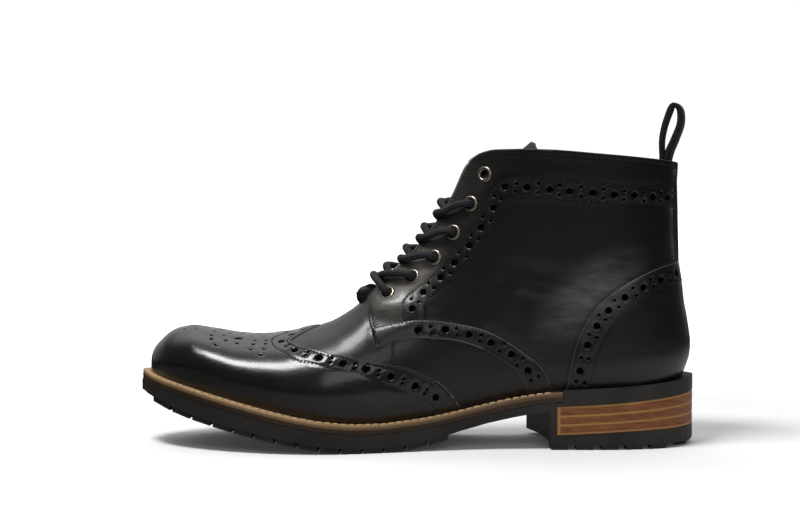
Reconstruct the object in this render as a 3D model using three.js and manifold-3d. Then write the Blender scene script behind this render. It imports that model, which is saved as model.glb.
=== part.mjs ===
import * as THREE from "three";
import Module from "manifold-3d";

// Driving sizes in millimetres: toe towards -X, outer side of the foot towards -Y, floor at Z = 0
const SOLE_LENGTH = 306;
const BALL_WIDTH = 103.6;
const COLLAR_HEIGHT = 161.5;
const REFERENCE_LENGTH = 306;
const REFERENCE_WIDTH = 103.6;
const REFERENCE_HEIGHT = 161.5;

// Leather thicknesses, measured inwards from the outside of the panels
const PANEL_OUT = 0;
const PANEL_IN = -1.15;
const WALL_OUT = -1.5;
const WALL_IN = -3.6;
const COUNTER_OUT = 1.2;
const COUNTER_IN = 0.3;
const EDGE_SETBACK = 0.6;

// Sole build, from the top of the welt down
const WELT_THICK = 2.7;
const WELT_WIDTH = 11;
const MIDSOLE_THICK = 3.1;
const SHEET_GAP = 0.1;
const SEAT_GAP = 0.3;
const INSOLE_THICK = 3;
const LUG_HEIGHT = 2.5;
const LUG_PITCH = 11.6;
const LUG_SLOT = 1.7;
const LUG_WIDTH = 17;
const HEEL_SLOT = 4.4;
const HEEL_LUG_PITCH = 13.5;
const BREAST_X = -46;
const BREAST_SKEW = 0.14;
const BREAST_HOLLOW = 5;
const PILLAR_BACK_X = -42;
const WELT_END_X = -38.4;
const LIFT_COUNT = 3;

// Fittings
const EYELET_OUTER = 3.9;
const EYELET_HOLE = 2.55;
const BARREL_RADIUS = 2.95;
const BARREL_HOLE = 3.3;
const LACE_RADIUS = 1.85;
const TONGUE_THICK = 2.2;
const LOOP_WIDTH = 11;
const LOOP_THICK = 1.7;

// Mesh density
const TOE_PLANES = 5;
const HEEL_PLANES = 6;
const WALL_ROWS = 7;
const PANEL_ROWS = 7;
const CURVE_SAMPLES = 44;
const MESH_TOLERANCE = 0.02;
const EYELET_SIDES = 8;
const LACE_SIDES = 6;
const LACE_STEPS = 10;
const TONGUE_STEPS = 13;
const LOOP_STEPS = 16;

// Turning point of the fan of rays that measures the ridge, in front of and above the instep
const FAN = { x: -275, z: 265 };
const TOE_AXIS_X = -222;
const HEEL_AXIS_X = -8;
const SIDE_POWER = 2.35;
const TOP_POWER = 2.15;
const BACK_POWER = 2.3;

function columns(names, rows) {
  const table = {};
  names.split(" ").forEach((name, index) => {
    table[name] = rows.map((row) => row[index]);
  });
  return table;
}

// Smooth curve through the points that never overshoots them
function spline(xs, ys) {
  const count = xs.length;
  const step = [];
  const rise = [];
  for (let i = 0; i < count - 1; i += 1) {
    step.push(xs[i + 1] - xs[i]);
    rise.push((ys[i + 1] - ys[i]) / step[i]);
  }
  const slope = new Array(count).fill(0);
  for (let i = 1; i < count - 1; i += 1) {
    if (rise[i - 1] * rise[i] > 0) {
      const before = 2 * step[i] + step[i - 1];
      const after = step[i] + 2 * step[i - 1];
      slope[i] = (before + after) / (before / rise[i - 1] + after / rise[i]);
    }
  }
  slope[0] = rise[0];
  slope[count - 1] = rise[count - 2];
  return (value) => {
    const x = Math.min(Math.max(value, xs[0]), xs[count - 1]);
    let k = 0;
    while (k < count - 2 && x > xs[k + 1]) k += 1;
    const t = (x - xs[k]) / step[k];
    const s = 1 - t;
    return (1 + 2 * t) * s * s * ys[k] + t * s * s * step[k] * slope[k]
      + t * t * (3 - 2 * t) * ys[k + 1] - t * t * s * step[k] * slope[k + 1];
  };
}

// Profile of the boot on its centre line, toe to collar: how deep the top rounds over
const RIDGE = columns("x z depth", [
  [-265.6, 38, 4],
  [-265.4, 44, 8],
  [-264.6, 49, 11],
  [-262.6, 53, 14],
  [-260, 56, 16],
  [-254.5, 60.8, 19],
  [-249, 63.2, 21],
  [-243, 64.2, 22],
  [-236, 63.4, 23],
  [-227, 62, 25],
  [-216, 60.2, 27],
  [-202, 59.7, 30],
  [-190, 60.9, 34],
  [-180, 63.2, 38],
  [-171, 65.6, 41],
  [-162, 69.2, 45],
  [-154, 74.2, 49],
  [-146, 81.4, 52],
  [-138, 89.9, 54],
  [-130, 99, 55],
  [-121, 109.6, 55],
  [-112, 121, 54],
  [-104, 132.6, 52],
  [-97.5, 144.2, 50],
  [-92.5, 155.4, 48],
  [-87.5, 168.4, 47],
  [-82, 184.4, 46],
]);

// Back of the heel and shaft on the centre line, and how deep it rounds
const BACK = columns("z x depth", [
  [30, 27.6, 38],
  [38, 28.8, 39],
  [42, 30.1, 40],
  [46.5, 31.7, 41],
  [51, 32.7, 42],
  [56.5, 32.9, 43],
  [63, 32.1, 44],
  [70, 31, 45],
  [79, 29.3, 46],
  [91, 27.9, 47],
  [100, 26.4, 48],
  [107, 25.4, 48],
  [115, 24.6, 48],
  [127.5, 24.3, 48],
  [137, 24.8, 48],
  [142.5, 25.3, 48],
  [152, 25.9, 48],
  [160, 26.4, 48],
]);

// Plan of the upper at its fullest level: reach to the outer and the inner side
const PLAN = columns("x outer inner", [
  [-265.6, -4.5, 4.5],
  [-264.6, 4, 13],
  [-261, 12, 21.5],
  [-255, 20, 29.6],
  [-247, 27, 36.2],
  [-236, 33.4, 41.8],
  [-222, 39, 45.6],
  [-206, 43.4, 47.8],
  [-188, 46.8, 48.4],
  [-170, 48, 46.8],
  [-152, 45.6, 42.8],
  [-134, 40.8, 37.4],
  [-116, 36.4, 32.4],
  [-98, 33.4, 29.4],
  [-80, 31.6, 28.4],
  [-60, 30.8, 28.8],
  [-40, 30.9, 29.6],
  [-20, 31.2, 30.4],
  [0, 31.2, 30.8],
  [40, 31.2, 31],
]);

// Half widths of the shaft by height
const SHAFT = columns("z outer inner", [
  [50, 31.5, 31],
  [70, 31.5, 31.5],
  [90, 31.5, 32],
  [105, 32, 32.5],
  [120, 32.6, 32.8],
  [140, 33.4, 33.2],
  [160, 34.2, 34],
  [180, 35, 34.8],
]);

// Height of the seat the upper rests on, and of the underside of the sole slab
const SEAT = columns("x z", [
  [-272, 41.6],
  [-263, 39],
  [-248, 35.6],
  [-237, 32.9],
  [-223.5, 29.5],
  [-209.7, 26.1],
  [-195, 22.7],
  [-180, 19.6],
  [-164, 17.2],
  [-148, 16],
  [-137, 16],
  [-127, 16.8],
  [-116, 17.9],
  [-105, 19.7],
  [-94, 22],
  [-78, 25.7],
  [-67, 28.1],
  [-55, 30.2],
  [-44, 31.6],
  [-35, 32.1],
  [-20, 32.8],
  [0, 34.1],
  [18, 35.8],
  [36, 38],
]);
const UNDERSIDE = columns("x z", [
  [-272, 29.6],
  [-260, 26],
  [-252, 22.9],
  [-240, 19.2],
  [-227.5, 16],
  [-216, 13.1],
  [-203, 10.3],
  [-190, 7.7],
  [-175, 5],
  [-160, 3],
  [-148, 2.5],
  [-134, 2.5],
  [-122, 3.7],
  [-114, 5.2],
  [-105, 7.2],
  [-94, 10.6],
  [-83, 13.7],
  [-72, 16.4],
  [-61, 18.6],
  [-50, 20.5],
  [-36, 22.6],
]);
const RAND_FLOOR = columns("x z", [
  [-60, 22.9],
  [-42, 23.6],
  [-22, 24.5],
  [1, 26.1],
  [20, 27.9],
  [36, 29.6],
]);
const LIFT_FLOOR = columns("x z", [
  [-60, 7.4],
  [-41, 7.9],
  [-22, 8.8],
  [2, 10],
  [36, 11],
]);

// Plan of the sole
const SOLE_PLAN = columns("x outer inner", [
  [-270, -4.5, 4.5],
  [-268.2, 3, 13],
  [-263.9, 12.5, 21.5],
  [-254.7, 23, 31.4],
  [-242.5, 32, 39.6],
  [-227.2, 40, 46.6],
  [-208.8, 46.6, 51.5],
  [-190.4, 50.5, 53.3],
  [-172.1, 51.8, 51.8],
  [-153.7, 49.5, 46.5],
  [-129.2, 43.5, 37.5],
  [-104.8, 37.5, 31.5],
  [-80.3, 34, 30],
  [-55.8, 33.8, 31.5],
  [-31.3, 34.6, 33.4],
  [-9.9, 34.2, 33.5],
  [8.5, 31, 30.5],
  [23.8, 23.5, 23.5],
  [32.3, 13, 13],
  [36, 0, 0],
]);

// Throat: distance of the facing edge from the centre line
const THROAT = columns("x half", [
  [-147.5, 0],
  [-146.6, 2.6],
  [-144.6, 4.8],
  [-140, 7],
  [-133.4, 9.6],
  [-127.5, 12],
  [-121, 14],
  [-112, 14.4],
  [-98, 14.4],
  [-92.6, 14.2],
  [-89.7, 15.4],
  [-86.5, 18],
  [-82.3, 21.6],
  [-74, 26.9],
]);
const COLLAR_START_X = -74;
const COLLAR = columns("x z", [
  [-86, 161.2],
  [-74, 161.5],
  [-60, 161.5],
  [-46, 161.1],
  [-36, 160.4],
  [-20, 159.1],
  [2, 157.4],
  [13.5, 156.3],
  [27, 154.8],
]);

// Lower edge of the quarters seen from the side, front tip to the sole
const QUARTER_EDGE = columns("x z", [
  [-139.8, 55.8],
  [-131.5, 58.5],
  [-123.5, 59.8],
  [-115, 60.4],
  [-106, 60.2],
  [-97, 59.2],
  [-87.5, 56.6],
  [-77.6, 52.3],
  [-68, 46.2],
  [-62.4, 41],
  [-58.8, 34],
  [-57, 22],
]);
const QUARTER_FRONT = columns("x z", [
  [-146.2, 100],
  [-145.8, 80],
  [-144.2, 71.7],
  [-142.8, 66.7],
  [-139.8, 55.8],
]);

// Upper edge of the wing cap seen from the side, and of its peak seen from above
const WING_EDGE = columns("x z", [
  [-187.6, 64],
  [-187.6, 57.9],
  [-184, 57.1],
  [-179.6, 56.1],
  [-172.9, 54.9],
  [-164.7, 53.2],
  [-156.7, 51.9],
  [-148.4, 50],
  [-135.8, 47],
  [-128.8, 46],
  [-122.4, 44.6],
  [-115.7, 42.1],
  [-109, 39],
  [-102.5, 34.2],
  [-97.8, 28.7],
  [-94.3, 23.5],
  [-91, 14],
]);
const PEAK_X = -171.5;
const VALLEY_HALF = 21;

// Front edge of the heel counter seen from the side
const COUNTER_EDGE = columns("x z", [
  [-37.5, 20],
  [-36, 35],
  [-33.7, 47.5],
  [-31.8, 55.8],
  [-29.1, 63.2],
  [-25.4, 69.7],
  [-20.9, 76.5],
  [-15.8, 81.6],
  [-9.7, 86.4],
  [-1.7, 90.9],
  [6.1, 94.9],
  [17.2, 98.8],
  [28, 100.6],
  [44, 101],
]);

// Eyelets, bottom to top: angle in the fan and distance from the centre plane
const EYELETS = columns("angle half", [
  [38, 20.7],
  [42, 21.6],
  [45.9, 22.8],
  [50.1, 23.4],
  [54.6, 24.1],
  [59, 25.1],
]);

// Tongue along the fan: how far it lies inside the ridge, and its half width
const TONGUE = columns("angle inset half", [
  [34.2, -4.6, 5.2],
  [35.6, -4, 5.2],
  [36.6, -2.6, 4.6],
  [37.4, 2, 4.6],
  [38.1, 7.6, 6],
  [38.8, 10, 8],
  [40, 10.4, 12],
  [43.2, 10.2, 18],
  [46, 10, 22],
  [50, 10, 25],
  [54, 11.2, 26],
  [58, 15, 27],
  [61.5, 21.5, 26],
  [63.8, 27, 22],
  [65.2, 30.4, 14],
  [65.9, 32, 5],
]);

// Pull loop, a band bent in the centre plane
const LOOP = columns("x z", [
  [17.8, 143],
  [17.8, 150],
  [17.5, 158],
  [17, 168],
  [19.4, 178.4],
  [24.8, 186.4],
  [28.9, 184],
  [29.4, 177],
  [26, 168],
  [21.8, 160.6],
  [19.8, 153],
  [19.8, 143],
]);

const alongX = SOLE_LENGTH / REFERENCE_LENGTH;
const alongY = BALL_WIDTH / REFERENCE_WIDTH;
const alongZ = COLLAR_HEIGHT / REFERENCE_HEIGHT;
const seatAt = spline(SEAT.x, SEAT.z);
const undersideAt = spline(UNDERSIDE.x, UNDERSIDE.z);
const randFloorAt = spline(RAND_FLOOR.x, RAND_FLOOR.z);
const liftFloorAt = spline(LIFT_FLOOR.x, LIFT_FLOOR.z);
const soleOuter = spline(SOLE_PLAN.x, SOLE_PLAN.outer);
const soleInner = spline(SOLE_PLAN.x, SOLE_PLAN.inner);
const planOuter = spline(PLAN.x, PLAN.outer);
const planInner = spline(PLAN.x, PLAN.inner);
const shaftOuter = spline(SHAFT.z, SHAFT.outer);
const shaftInner = spline(SHAFT.z, SHAFT.inner);
const backX = spline(BACK.z, BACK.x);
const backDepth = spline(BACK.z, BACK.depth);
const ridgeAngle = RIDGE.x.map((x, i) => Math.atan2(x - FAN.x, FAN.z - RIDGE.z[i]));
const ridgeReach = RIDGE.x.map((x, i) => Math.hypot(x - FAN.x, FAN.z - RIDGE.z[i]));
const ridgeRadius = spline(ridgeAngle, ridgeReach);
const ridgeDepth = spline(ridgeAngle, RIDGE.depth);
const throatHalf = spline(THROAT.x, THROAT.half);
const collarZ = spline(COLLAR.x, COLLAR.z);

function clamp(value, low, high) {
  return Math.min(Math.max(value, low), high);
}

function ease(value) {
  const t = clamp(value, 0, 1);
  return t * t * (3 - 2 * t);
}

// Centre line and half width of the form at one place, grown by an offset
const TOE_ZONE_X = -215;
const TOE_ZONE_LENGTH = 50.5;
const TOE_ZONE_HALF = 44;
const TUCK = 2.6;
const TUCK_HEIGHT = 15;
function spread(x, z, offset) {
  const inToe = x < TOE_ZONE_X;
  const along = inToe ? TOE_ZONE_X + (x - TOE_ZONE_X) * TOE_ZONE_LENGTH / (TOE_ZONE_LENGTH + offset) : x;
  let outer = planOuter(along);
  let inner = planInner(along);
  outer += inToe ? offset * outer / TOE_ZONE_HALF : offset;
  inner += inToe ? offset * inner / TOE_ZONE_HALF : offset;
  const blend = ease((z - 48) / 58) * ease((x + 170) / 50);
  outer += (shaftOuter(z) + offset - outer) * blend;
  inner += (shaftInner(z) + offset - inner) * blend;
  const low = clamp(1 - (z - seatAt(x)) / TUCK_HEIGHT, 0, 1.6);
  let half = (outer + inner) / 2;
  half -= TUCK * low * low * clamp(half / 20, 0.15, 1);
  return { centre: (inner - outer) / 2, half: Math.max(half, 0.02), along };
}

// Form of the last: below zero inside, above zero outside
function form(x, y, z, offset) {
  const { centre, half, along } = spread(x, z, offset);
  const angle = Math.atan2(along - FAN.x, FAN.z - z);
  const reach = Math.hypot(along - FAN.x, FAN.z - z);
  const depth = ridgeDepth(angle) + offset;
  const top = Math.max(1 - (reach - ridgeRadius(angle) + offset) / depth, 0);
  const back = Math.max(1 - (backX(z) + offset - x) / (backDepth(z) + offset), 0);
  return (Math.abs(y - centre) / half) ** SIDE_POWER + top ** TOP_POWER + back ** BACK_POWER - 1;
}

// Distance along a ray, from a point inside, to the skin of the form
function cast(start, direction, offset, limit) {
  let near = 0;
  let far = limit;
  for (let i = 0; i < 34; i += 1) {
    const middle = (near + far) / 2;
    const x = start[0] + direction[0] * middle;
    const y = start[1] + direction[1] * middle;
    const z = start[2] + direction[2] * middle;
    if (form(x, y, z, offset) < 0) near = middle;
    else far = middle;
  }
  return near;
}

function along3(start, direction, distance) {
  return [0, 1, 2].map((i) => start[i] + direction[i] * distance);
}

function outward(point) {
  const e = 0.05;
  const [x, y, z] = point;
  const slope = [
    form(x + e, y, z, 0) - form(x - e, y, z, 0),
    form(x, y + e, z, 0) - form(x, y - e, z, 0),
    form(x, y, z + e, 0) - form(x, y, z - e, 0),
  ];
  const size = Math.hypot(...slope);
  return slope.map((value) => value / size);
}

// Point on the skin in the fan: angle in radians and distance from the centre plane
function fanPoint(angle, y, offset) {
  const start = [FAN.x, y, FAN.z];
  const direction = [Math.sin(angle), 0, -Math.cos(angle)];
  let near = ridgeRadius(angle) - offset - 3;
  let far = near + ridgeDepth(angle);
  for (let i = 0; i < 34; i += 1) {
    const middle = (near + far) / 2;
    const [px, py, pz] = along3(start, direction, middle);
    if (form(px, py, pz, offset) > 0) near = middle;
    else far = middle;
  }
  return along3(start, direction, far);
}

// Upright half planes that cut the upper, from the toe tip round one side to the back of the heel
function halfPlanes(side, stations) {
  const toeY = (planInner(TOE_AXIS_X) - planOuter(TOE_AXIS_X)) / 2;
  const planes = [];
  for (let i = 0; i < TOE_PLANES; i += 1) {
    const turn = (Math.PI / 2) * (i / TOE_PLANES);
    planes.push({ x: TOE_AXIS_X, y: toeY, dx: -Math.cos(turn), dy: side * Math.sin(turn) });
  }
  for (const x of stations) {
    planes.push({ x, y: spread(x, 40, 0).centre, dx: 0, dy: side });
  }
  for (let i = 1; i <= HEEL_PLANES; i += 1) {
    const turn = (Math.PI / 2) * (i / HEEL_PLANES);
    planes.push({ x: HEEL_AXIS_X, y: 0, dx: Math.sin(turn), dy: side * Math.cos(turn) });
  }
  return planes;
}

// Curve of the skin in one half plane, from the sole up to the ridge, the facing edge or the collar
function section(plane, offset, setback, rows, low) {
  const start = (z) => [plane.x, plane.y, z];
  const level = [plane.dx, plane.dy, 0];
  const onLevel = (z) => along3(start(z), level, cast(start(z), level, offset, 90));
  let base = seatAt(plane.x) + low;
  for (let i = 0; i < 4; i += 1) base = seatAt(onLevel(base)[0]) + low;
  const inToe = plane.dx < 0 || plane.x === TOE_AXIS_X;
  const points = [];
  if (!inToe && plane.x >= COLLAR_START_X) {
    let rim = collarZ(plane.x) - setback;
    for (let i = 0; i < 4; i += 1) rim = collarZ(onLevel(rim)[0]) - setback;
    for (let i = 0; i <= CURVE_SAMPLES; i += 1) {
      points.push(onLevel(base + (rim - base) * (i / CURVE_SAMPLES)));
    }
  } else {
    const crown = start(base)[2] + cast(start(base + 6), [0, 0, 1], offset, 190) + 6;
    const knee = base + (crown - base) * 0.42;
    const rayAt = (turn) => {
      const direction = [plane.dx * Math.cos(turn), plane.dy * Math.cos(turn), Math.sin(turn)];
      return along3(start(knee), direction, cast(start(knee), direction, offset, 190));
    };
    let last = Math.PI / 2;
    const edge = throatHalf(plane.x) + setback;
    if (!inToe && plane.x > THROAT.x[0]) {
      let under = 0;
      for (let i = 0; i < 30; i += 1) {
        const middle = (under + last) / 2;
        if (Math.abs(rayAt(middle)[1]) > edge) under = middle;
        else last = middle;
      }
    }
    const steps = CURVE_SAMPLES / 2;
    for (let i = 0; i < steps; i += 1) points.push(onLevel(base + (knee - base) * (i / steps)));
    for (let i = 0; i <= steps; i += 1) points.push(rayAt(last * (i / steps)));
  }
  return resample(points, rows);
}

function resample(points, rows) {
  const reach = [0];
  for (let i = 1; i < points.length; i += 1) {
    const gap = Math.hypot(...[0, 1, 2].map((k) => points[i][k] - points[i - 1][k]));
    reach.push(reach[i - 1] + gap);
  }
  const result = [];
  let k = 0;
  for (let row = 0; row <= rows; row += 1) {
    const want = reach[reach.length - 1] * (row / rows);
    while (k < points.length - 2 && reach[k + 1] < want) k += 1;
    const t = (want - reach[k]) / (reach[k + 1] - reach[k]);
    result.push([0, 1, 2].map((i) => points[k][i] + (points[k + 1][i] - points[k][i]) * t));
  }
  return result;
}

// Collects corners once each, and triangles that have an area
function startBody() {
  const body = { points: [], faces: [], seen: new Map() };
  body.vertex = (point) => {
    const key = point.map((value) => Math.round(value * 500)).join(" ");
    if (!body.seen.has(key)) {
      body.seen.set(key, body.points.length);
      body.points.push(point);
    }
    return body.seen.get(key);
  };
  body.triangle = (a, b, c) => {
    const corners = [a, b, c].map(body.vertex);
    if (new Set(corners).size === 3) body.faces.push(corners);
  };
  body.quad = (a, b, c, d) => {
    body.triangle(a, b, c);
    body.triangle(a, c, d);
  };
  return body;
}

const wasm = await Module();
wasm.setup();

function toSolid(body) {
  let volume = 0;
  for (const [a, b, c] of body.faces.map((face) => face.map((i) => body.points[i]))) {
    volume += a[0] * (b[1] * c[2] - b[2] * c[1]) - a[1] * (b[0] * c[2] - b[2] * c[0])
      + a[2] * (b[0] * c[1] - b[1] * c[0]);
  }
  const faces = volume < 0 ? body.faces.map(([a, b, c]) => [a, c, b]) : body.faces;
  return new wasm.Manifold(new wasm.Mesh({
    numProp: 3,
    vertProperties: new Float32Array(body.points.flat()),
    triVerts: new Uint32Array(faces.flat()),
  }));
}

// Sheet of leather between two offsets of the form, over a run of half planes
function sheet(planes, outside, inside, setback, rows, low) {
  const out = planes.map((plane) => section(plane, outside, setback, rows, low));
  const into = planes.map((plane) => section(plane, inside, setback, rows, low));
  const body = startBody();
  const last = planes.length - 1;
  const bothSides = planes.some((plane) => plane.dy > 0.1) && planes.some((plane) => plane.dy < -0.1);
  for (let i = 0; i < last; i += 1) {
    for (let k = 0; k < rows; k += 1) {
      body.quad(out[i][k], out[i + 1][k], out[i + 1][k + 1], out[i][k + 1]);
      body.quad(into[i][k], into[i][k + 1], into[i + 1][k + 1], into[i + 1][k]);
    }
    body.quad(out[i][0], into[i][0], into[i + 1][0], out[i + 1][0]);
    const closed = bothSides && isClosed(planes[i]) && isClosed(planes[i + 1]);
    if (!closed) body.quad(out[i][rows], out[i + 1][rows], into[i + 1][rows], into[i][rows]);
  }
  for (const end of samePlane(planes[0], planes[last]) ? [] : [0, last]) {
    for (let k = 0; k < rows; k += 1) {
      const corners = [out[end][k], out[end][k + 1], into[end][k + 1], into[end][k]];
      body.quad(...(end === 0 ? corners : corners.reverse()));
    }
  }
  return toSolid(body);
}

function isClosed(plane) {
  return plane.x < THROAT.x[0] + 0.01;
}

function samePlane(a, b) {
  return a.x === b.x && Math.abs(a.dx - b.dx) < 0.001 && Math.abs(a.dy - b.dy) < 0.001;
}

// Upright prism over an outline in the side view ("xz") or in plan ("xy")
function prism(outline, view, low, high) {
  const contour = outline.map(([a, b]) => new THREE.Vector2(a, b));
  const place = (corner, depth) => (view === "xz" ? [corner.x, depth, corner.y] : [corner.x, corner.y, depth]);
  const body = startBody();
  for (const [a, b, c] of THREE.ShapeUtils.triangulateShape(contour, [])) {
    body.triangle(place(contour[a], low), place(contour[b], low), place(contour[c], low));
    body.triangle(place(contour[a], high), place(contour[c], high), place(contour[b], high));
  }
  const turn = THREE.ShapeUtils.area(contour) > 0 ? 1 : -1;
  contour.forEach((corner, i) => {
    const next = contour[(i + 1) % contour.length];
    const wall = [place(corner, low), place(corner, high), place(next, high), place(next, low)];
    body.quad(...(turn > 0 ? wall : wall.reverse()));
  });
  return toSolid(body);
}

function rowsOf(table) {
  return table.x.map((x, i) => [x, table.z[i]]);
}

// Plate of the sole: a run of upright cross sections between two heights
function plate(stations, inset, topZ, bottomZ) {
  const ring = (x) => {
    const outer = -Math.max(soleOuter(x) - inset, 0.01);
    const inner = Math.max(soleInner(x) - inset, outer + 0.02);
    const top = topZ(x);
    const bottom = bottomZ(x);
    return [[x, outer, bottom], [x, outer, top], [x, inner, top], [x, inner, bottom]];
  };
  const rings = stations.map(ring);
  const body = startBody();
  const last = rings.length - 1;
  for (let i = 0; i < last; i += 1) {
    for (let k = 0; k < 4; k += 1) {
      const n = (k + 1) % 4;
      body.quad(rings[i][k], rings[i][n], rings[i + 1][n], rings[i + 1][k]);
    }
  }
  body.quad(...[...rings[0]].reverse());
  body.quad(...rings[last]);
  return toSolid(body);
}

// Stations that crowd towards the rounded ends of the sole
function soleStations(from, to, inset) {
  const toe = SOLE_PLAN.x[0] + inset;
  const heel = SOLE_PLAN.x[SOLE_PLAN.x.length - 1] - inset;
  const marks = [toe, toe + 0.5, toe + 1.6, toe + 3.6, toe + 7, toe + 12, toe + 19, toe + 28, toe + 39];
  for (let x = toe + 51; x < heel - 34; x += 14) marks.push(x);
  marks.push(heel - 30, heel - 22, heel - 15, heel - 9, heel - 5, heel - 2.4, heel - 0.9, heel - 0.1);
  const inside = marks.filter((x) => x > from + 0.2 && x < to - 0.2);
  if (from > toe) inside.unshift(from);
  else inside.unshift(toe + 0.01);
  if (to < heel) inside.push(to);
  return inside;
}

// Block with four upright corners
function block(corners, bottomZ, topZ) {
  const body = startBody();
  const low = corners.map(([x, y]) => [x, y, bottomZ(x)]);
  const high = corners.map(([x, y]) => [x, y, topZ(x)]);
  body.quad(low[0], low[3], low[2], low[1]);
  body.quad(...high);
  for (let k = 0; k < 4; k += 1) {
    const n = (k + 1) % 4;
    body.quad(low[k], low[n], high[n], high[k]);
  }
  return toSolid(body);
}

const edgeY = (x, side, inset) => side * ((side < 0 ? soleOuter(x) : soleInner(x)) - inset);

// Lugs along both edges and down the middle of the forepart
function forepartLugs() {
  const lugs = [];
  const bottom = (x) => Math.max(undersideAt(x) - LUG_HEIGHT, 0);
  const top = (x) => undersideAt(x) + 0.8;
  for (let x = -262; x < -108; x += LUG_PITCH) {
    const end = x + LUG_PITCH - LUG_SLOT;
    for (const side of [-1, 1]) {
      const reach = Math.min(LUG_WIDTH, (side < 0 ? soleOuter(x) : soleInner(x)) - 7);
      if (reach > 4) {
        const corners = [
          [x, edgeY(x, side, 0.4)],
          [end, edgeY(end, side, 0.4)],
          [end + 1.5, edgeY(end, side, reach)],
          [x + 1.5, edgeY(x, side, reach)],
        ];
        lugs.push(block(side < 0 ? corners : corners.reverse(), bottom, top));
      }
    }
    if (x > -240 && x < -120) {
      const middle = (soleInner(x) - soleOuter(x)) / 2;
      const corners = [[x + 2, middle - 10], [end - 2, middle - 10], [end - 2, middle + 10], [x + 2, middle + 10]];
      lugs.push(block(corners, bottom, top));
    }
  }
  return lugs;
}

// Tread of the heel: lugs round the edge and a flat pad in the middle
function heelTread() {
  const parts = [];
  const bottom = () => 0;
  const top = () => LUG_HEIGHT + 0.5;
  for (const side of [-1, 1]) {
    for (let x = BREAST_X + 1; x < 14; x += HEEL_LUG_PITCH) {
      const end = x + HEEL_LUG_PITCH - HEEL_SLOT;
      const corners = [[x, edgeY(x, side, 0.5)], [end, edgeY(end, side, 0.5)], [end, side * 17], [x, side * 17]];
      parts.push(block(side < 0 ? corners : corners.reverse(), bottom, top));
    }
  }
  const back = [[24, -14], [31, -10], [31, 10], [24, 14]];
  const pad = [[-30, -13], [19, -13], [19, 13], [-30, 13]];
  parts.push(block(back, bottom, top), block(pad, bottom, top));
  return parts;
}

// Breast of the heel: hollow towards the waist, further forward on the inner side
function breastOutline() {
  const outline = [];
  for (let i = 0; i <= 8; i += 1) {
    const y = -40 + 10 * i;
    const bow = 1 - (y / 40) ** 2;
    outline.push([BREAST_X - BREAST_SKEW * (y + 40) + BREAST_HOLLOW * bow, y]);
  }
  return outline;
}

// Room for the stacked heel, wider than the sole so that it cuts through the edge
function stackRoom() {
  const body = startBody();
  const rings = [PILLAR_BACK_X, -32, -22, -10, 2, 12, 20, 28, 36, 44].map((x) => [
    [x, -60, liftFloorAt(x)],
    [x, -60, randFloorAt(x)],
    [x, 60, randFloorAt(x)],
    [x, 60, liftFloorAt(x)],
  ]);
  for (let i = 0; i < rings.length - 1; i += 1) {
    for (let k = 0; k < 4; k += 1) {
      const n = (k + 1) % 4;
      body.quad(rings[i][k], rings[i][n], rings[i + 1][n], rings[i + 1][k]);
    }
  }
  body.quad(...[...rings[0]].reverse());
  body.quad(...rings[rings.length - 1]);
  return toSolid(body);
}

// Outsole: slab, raised rand at the heel, hollow breast and tread, all one rubber piece
function makeOutsole() {
  const slabTop = (x) => seatAt(x) - WELT_THICK - MIDSOLE_THICK - 2.5 * SHEET_GAP;
  const slab = plate(soleStations(-300, PILLAR_BACK_X, 0), 0, slabTop, undersideAt);
  const heel = plate(soleStations(-72, 60, 0), 0, seatAt, () => LUG_HEIGHT);
  const ahead = prism([...breastOutline(), [-90, 60], [-90, -60]], "xy", -5, 60);
  const step = block([[-90, -60], [WELT_END_X, -60], [WELT_END_X, 60], [-90, 60]], slabTop, (x) => seatAt(x) + 20);
  let solid = slab.add(heel.subtract(ahead).subtract(step).subtract(stackRoom()));
  for (const lug of [...forepartLugs(), ...heelTread()]) solid = solid.add(lug);
  return solid;
}

function makeLift(index) {
  const level = (x, share) => liftFloorAt(x) + (randFloorAt(x) - liftFloorAt(x)) * share;
  const top = (x) => level(x, (index + 1) / LIFT_COUNT) - SHEET_GAP / 2;
  const bottom = (x) => level(x, index / LIFT_COUNT) + SHEET_GAP / 2;
  return plate(soleStations(PILLAR_BACK_X + SHEET_GAP, 60, 0.3), 0.3, top, bottom);
}

function makeWelt() {
  const stations = soleStations(-300, WELT_END_X - SHEET_GAP, 0);
  const full = plate(stations, 0, seatAt, (x) => seatAt(x) - WELT_THICK);
  const hole = plate(soleStations(-300, 10, WELT_WIDTH), WELT_WIDTH, (x) => seatAt(x) + 4, (x) => seatAt(x) - 8);
  return full.subtract(hole);
}

function makeMidsole() {
  const stations = soleStations(-300, WELT_END_X - SHEET_GAP, 0.4);
  const top = (x) => seatAt(x) - WELT_THICK - SHEET_GAP;
  const base = plate(stations, 0.4, top, (x) => top(x) - MIDSOLE_THICK + SHEET_GAP / 2);
  const inset = WELT_WIDTH + 0.3;
  const bed = plate(soleStations(-300, WELT_END_X - SHEET_GAP, inset), inset, (x) => seatAt(x) - 2 * SHEET_GAP, (x) => top(x) - 1);
  return base.add(bed);
}

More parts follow.
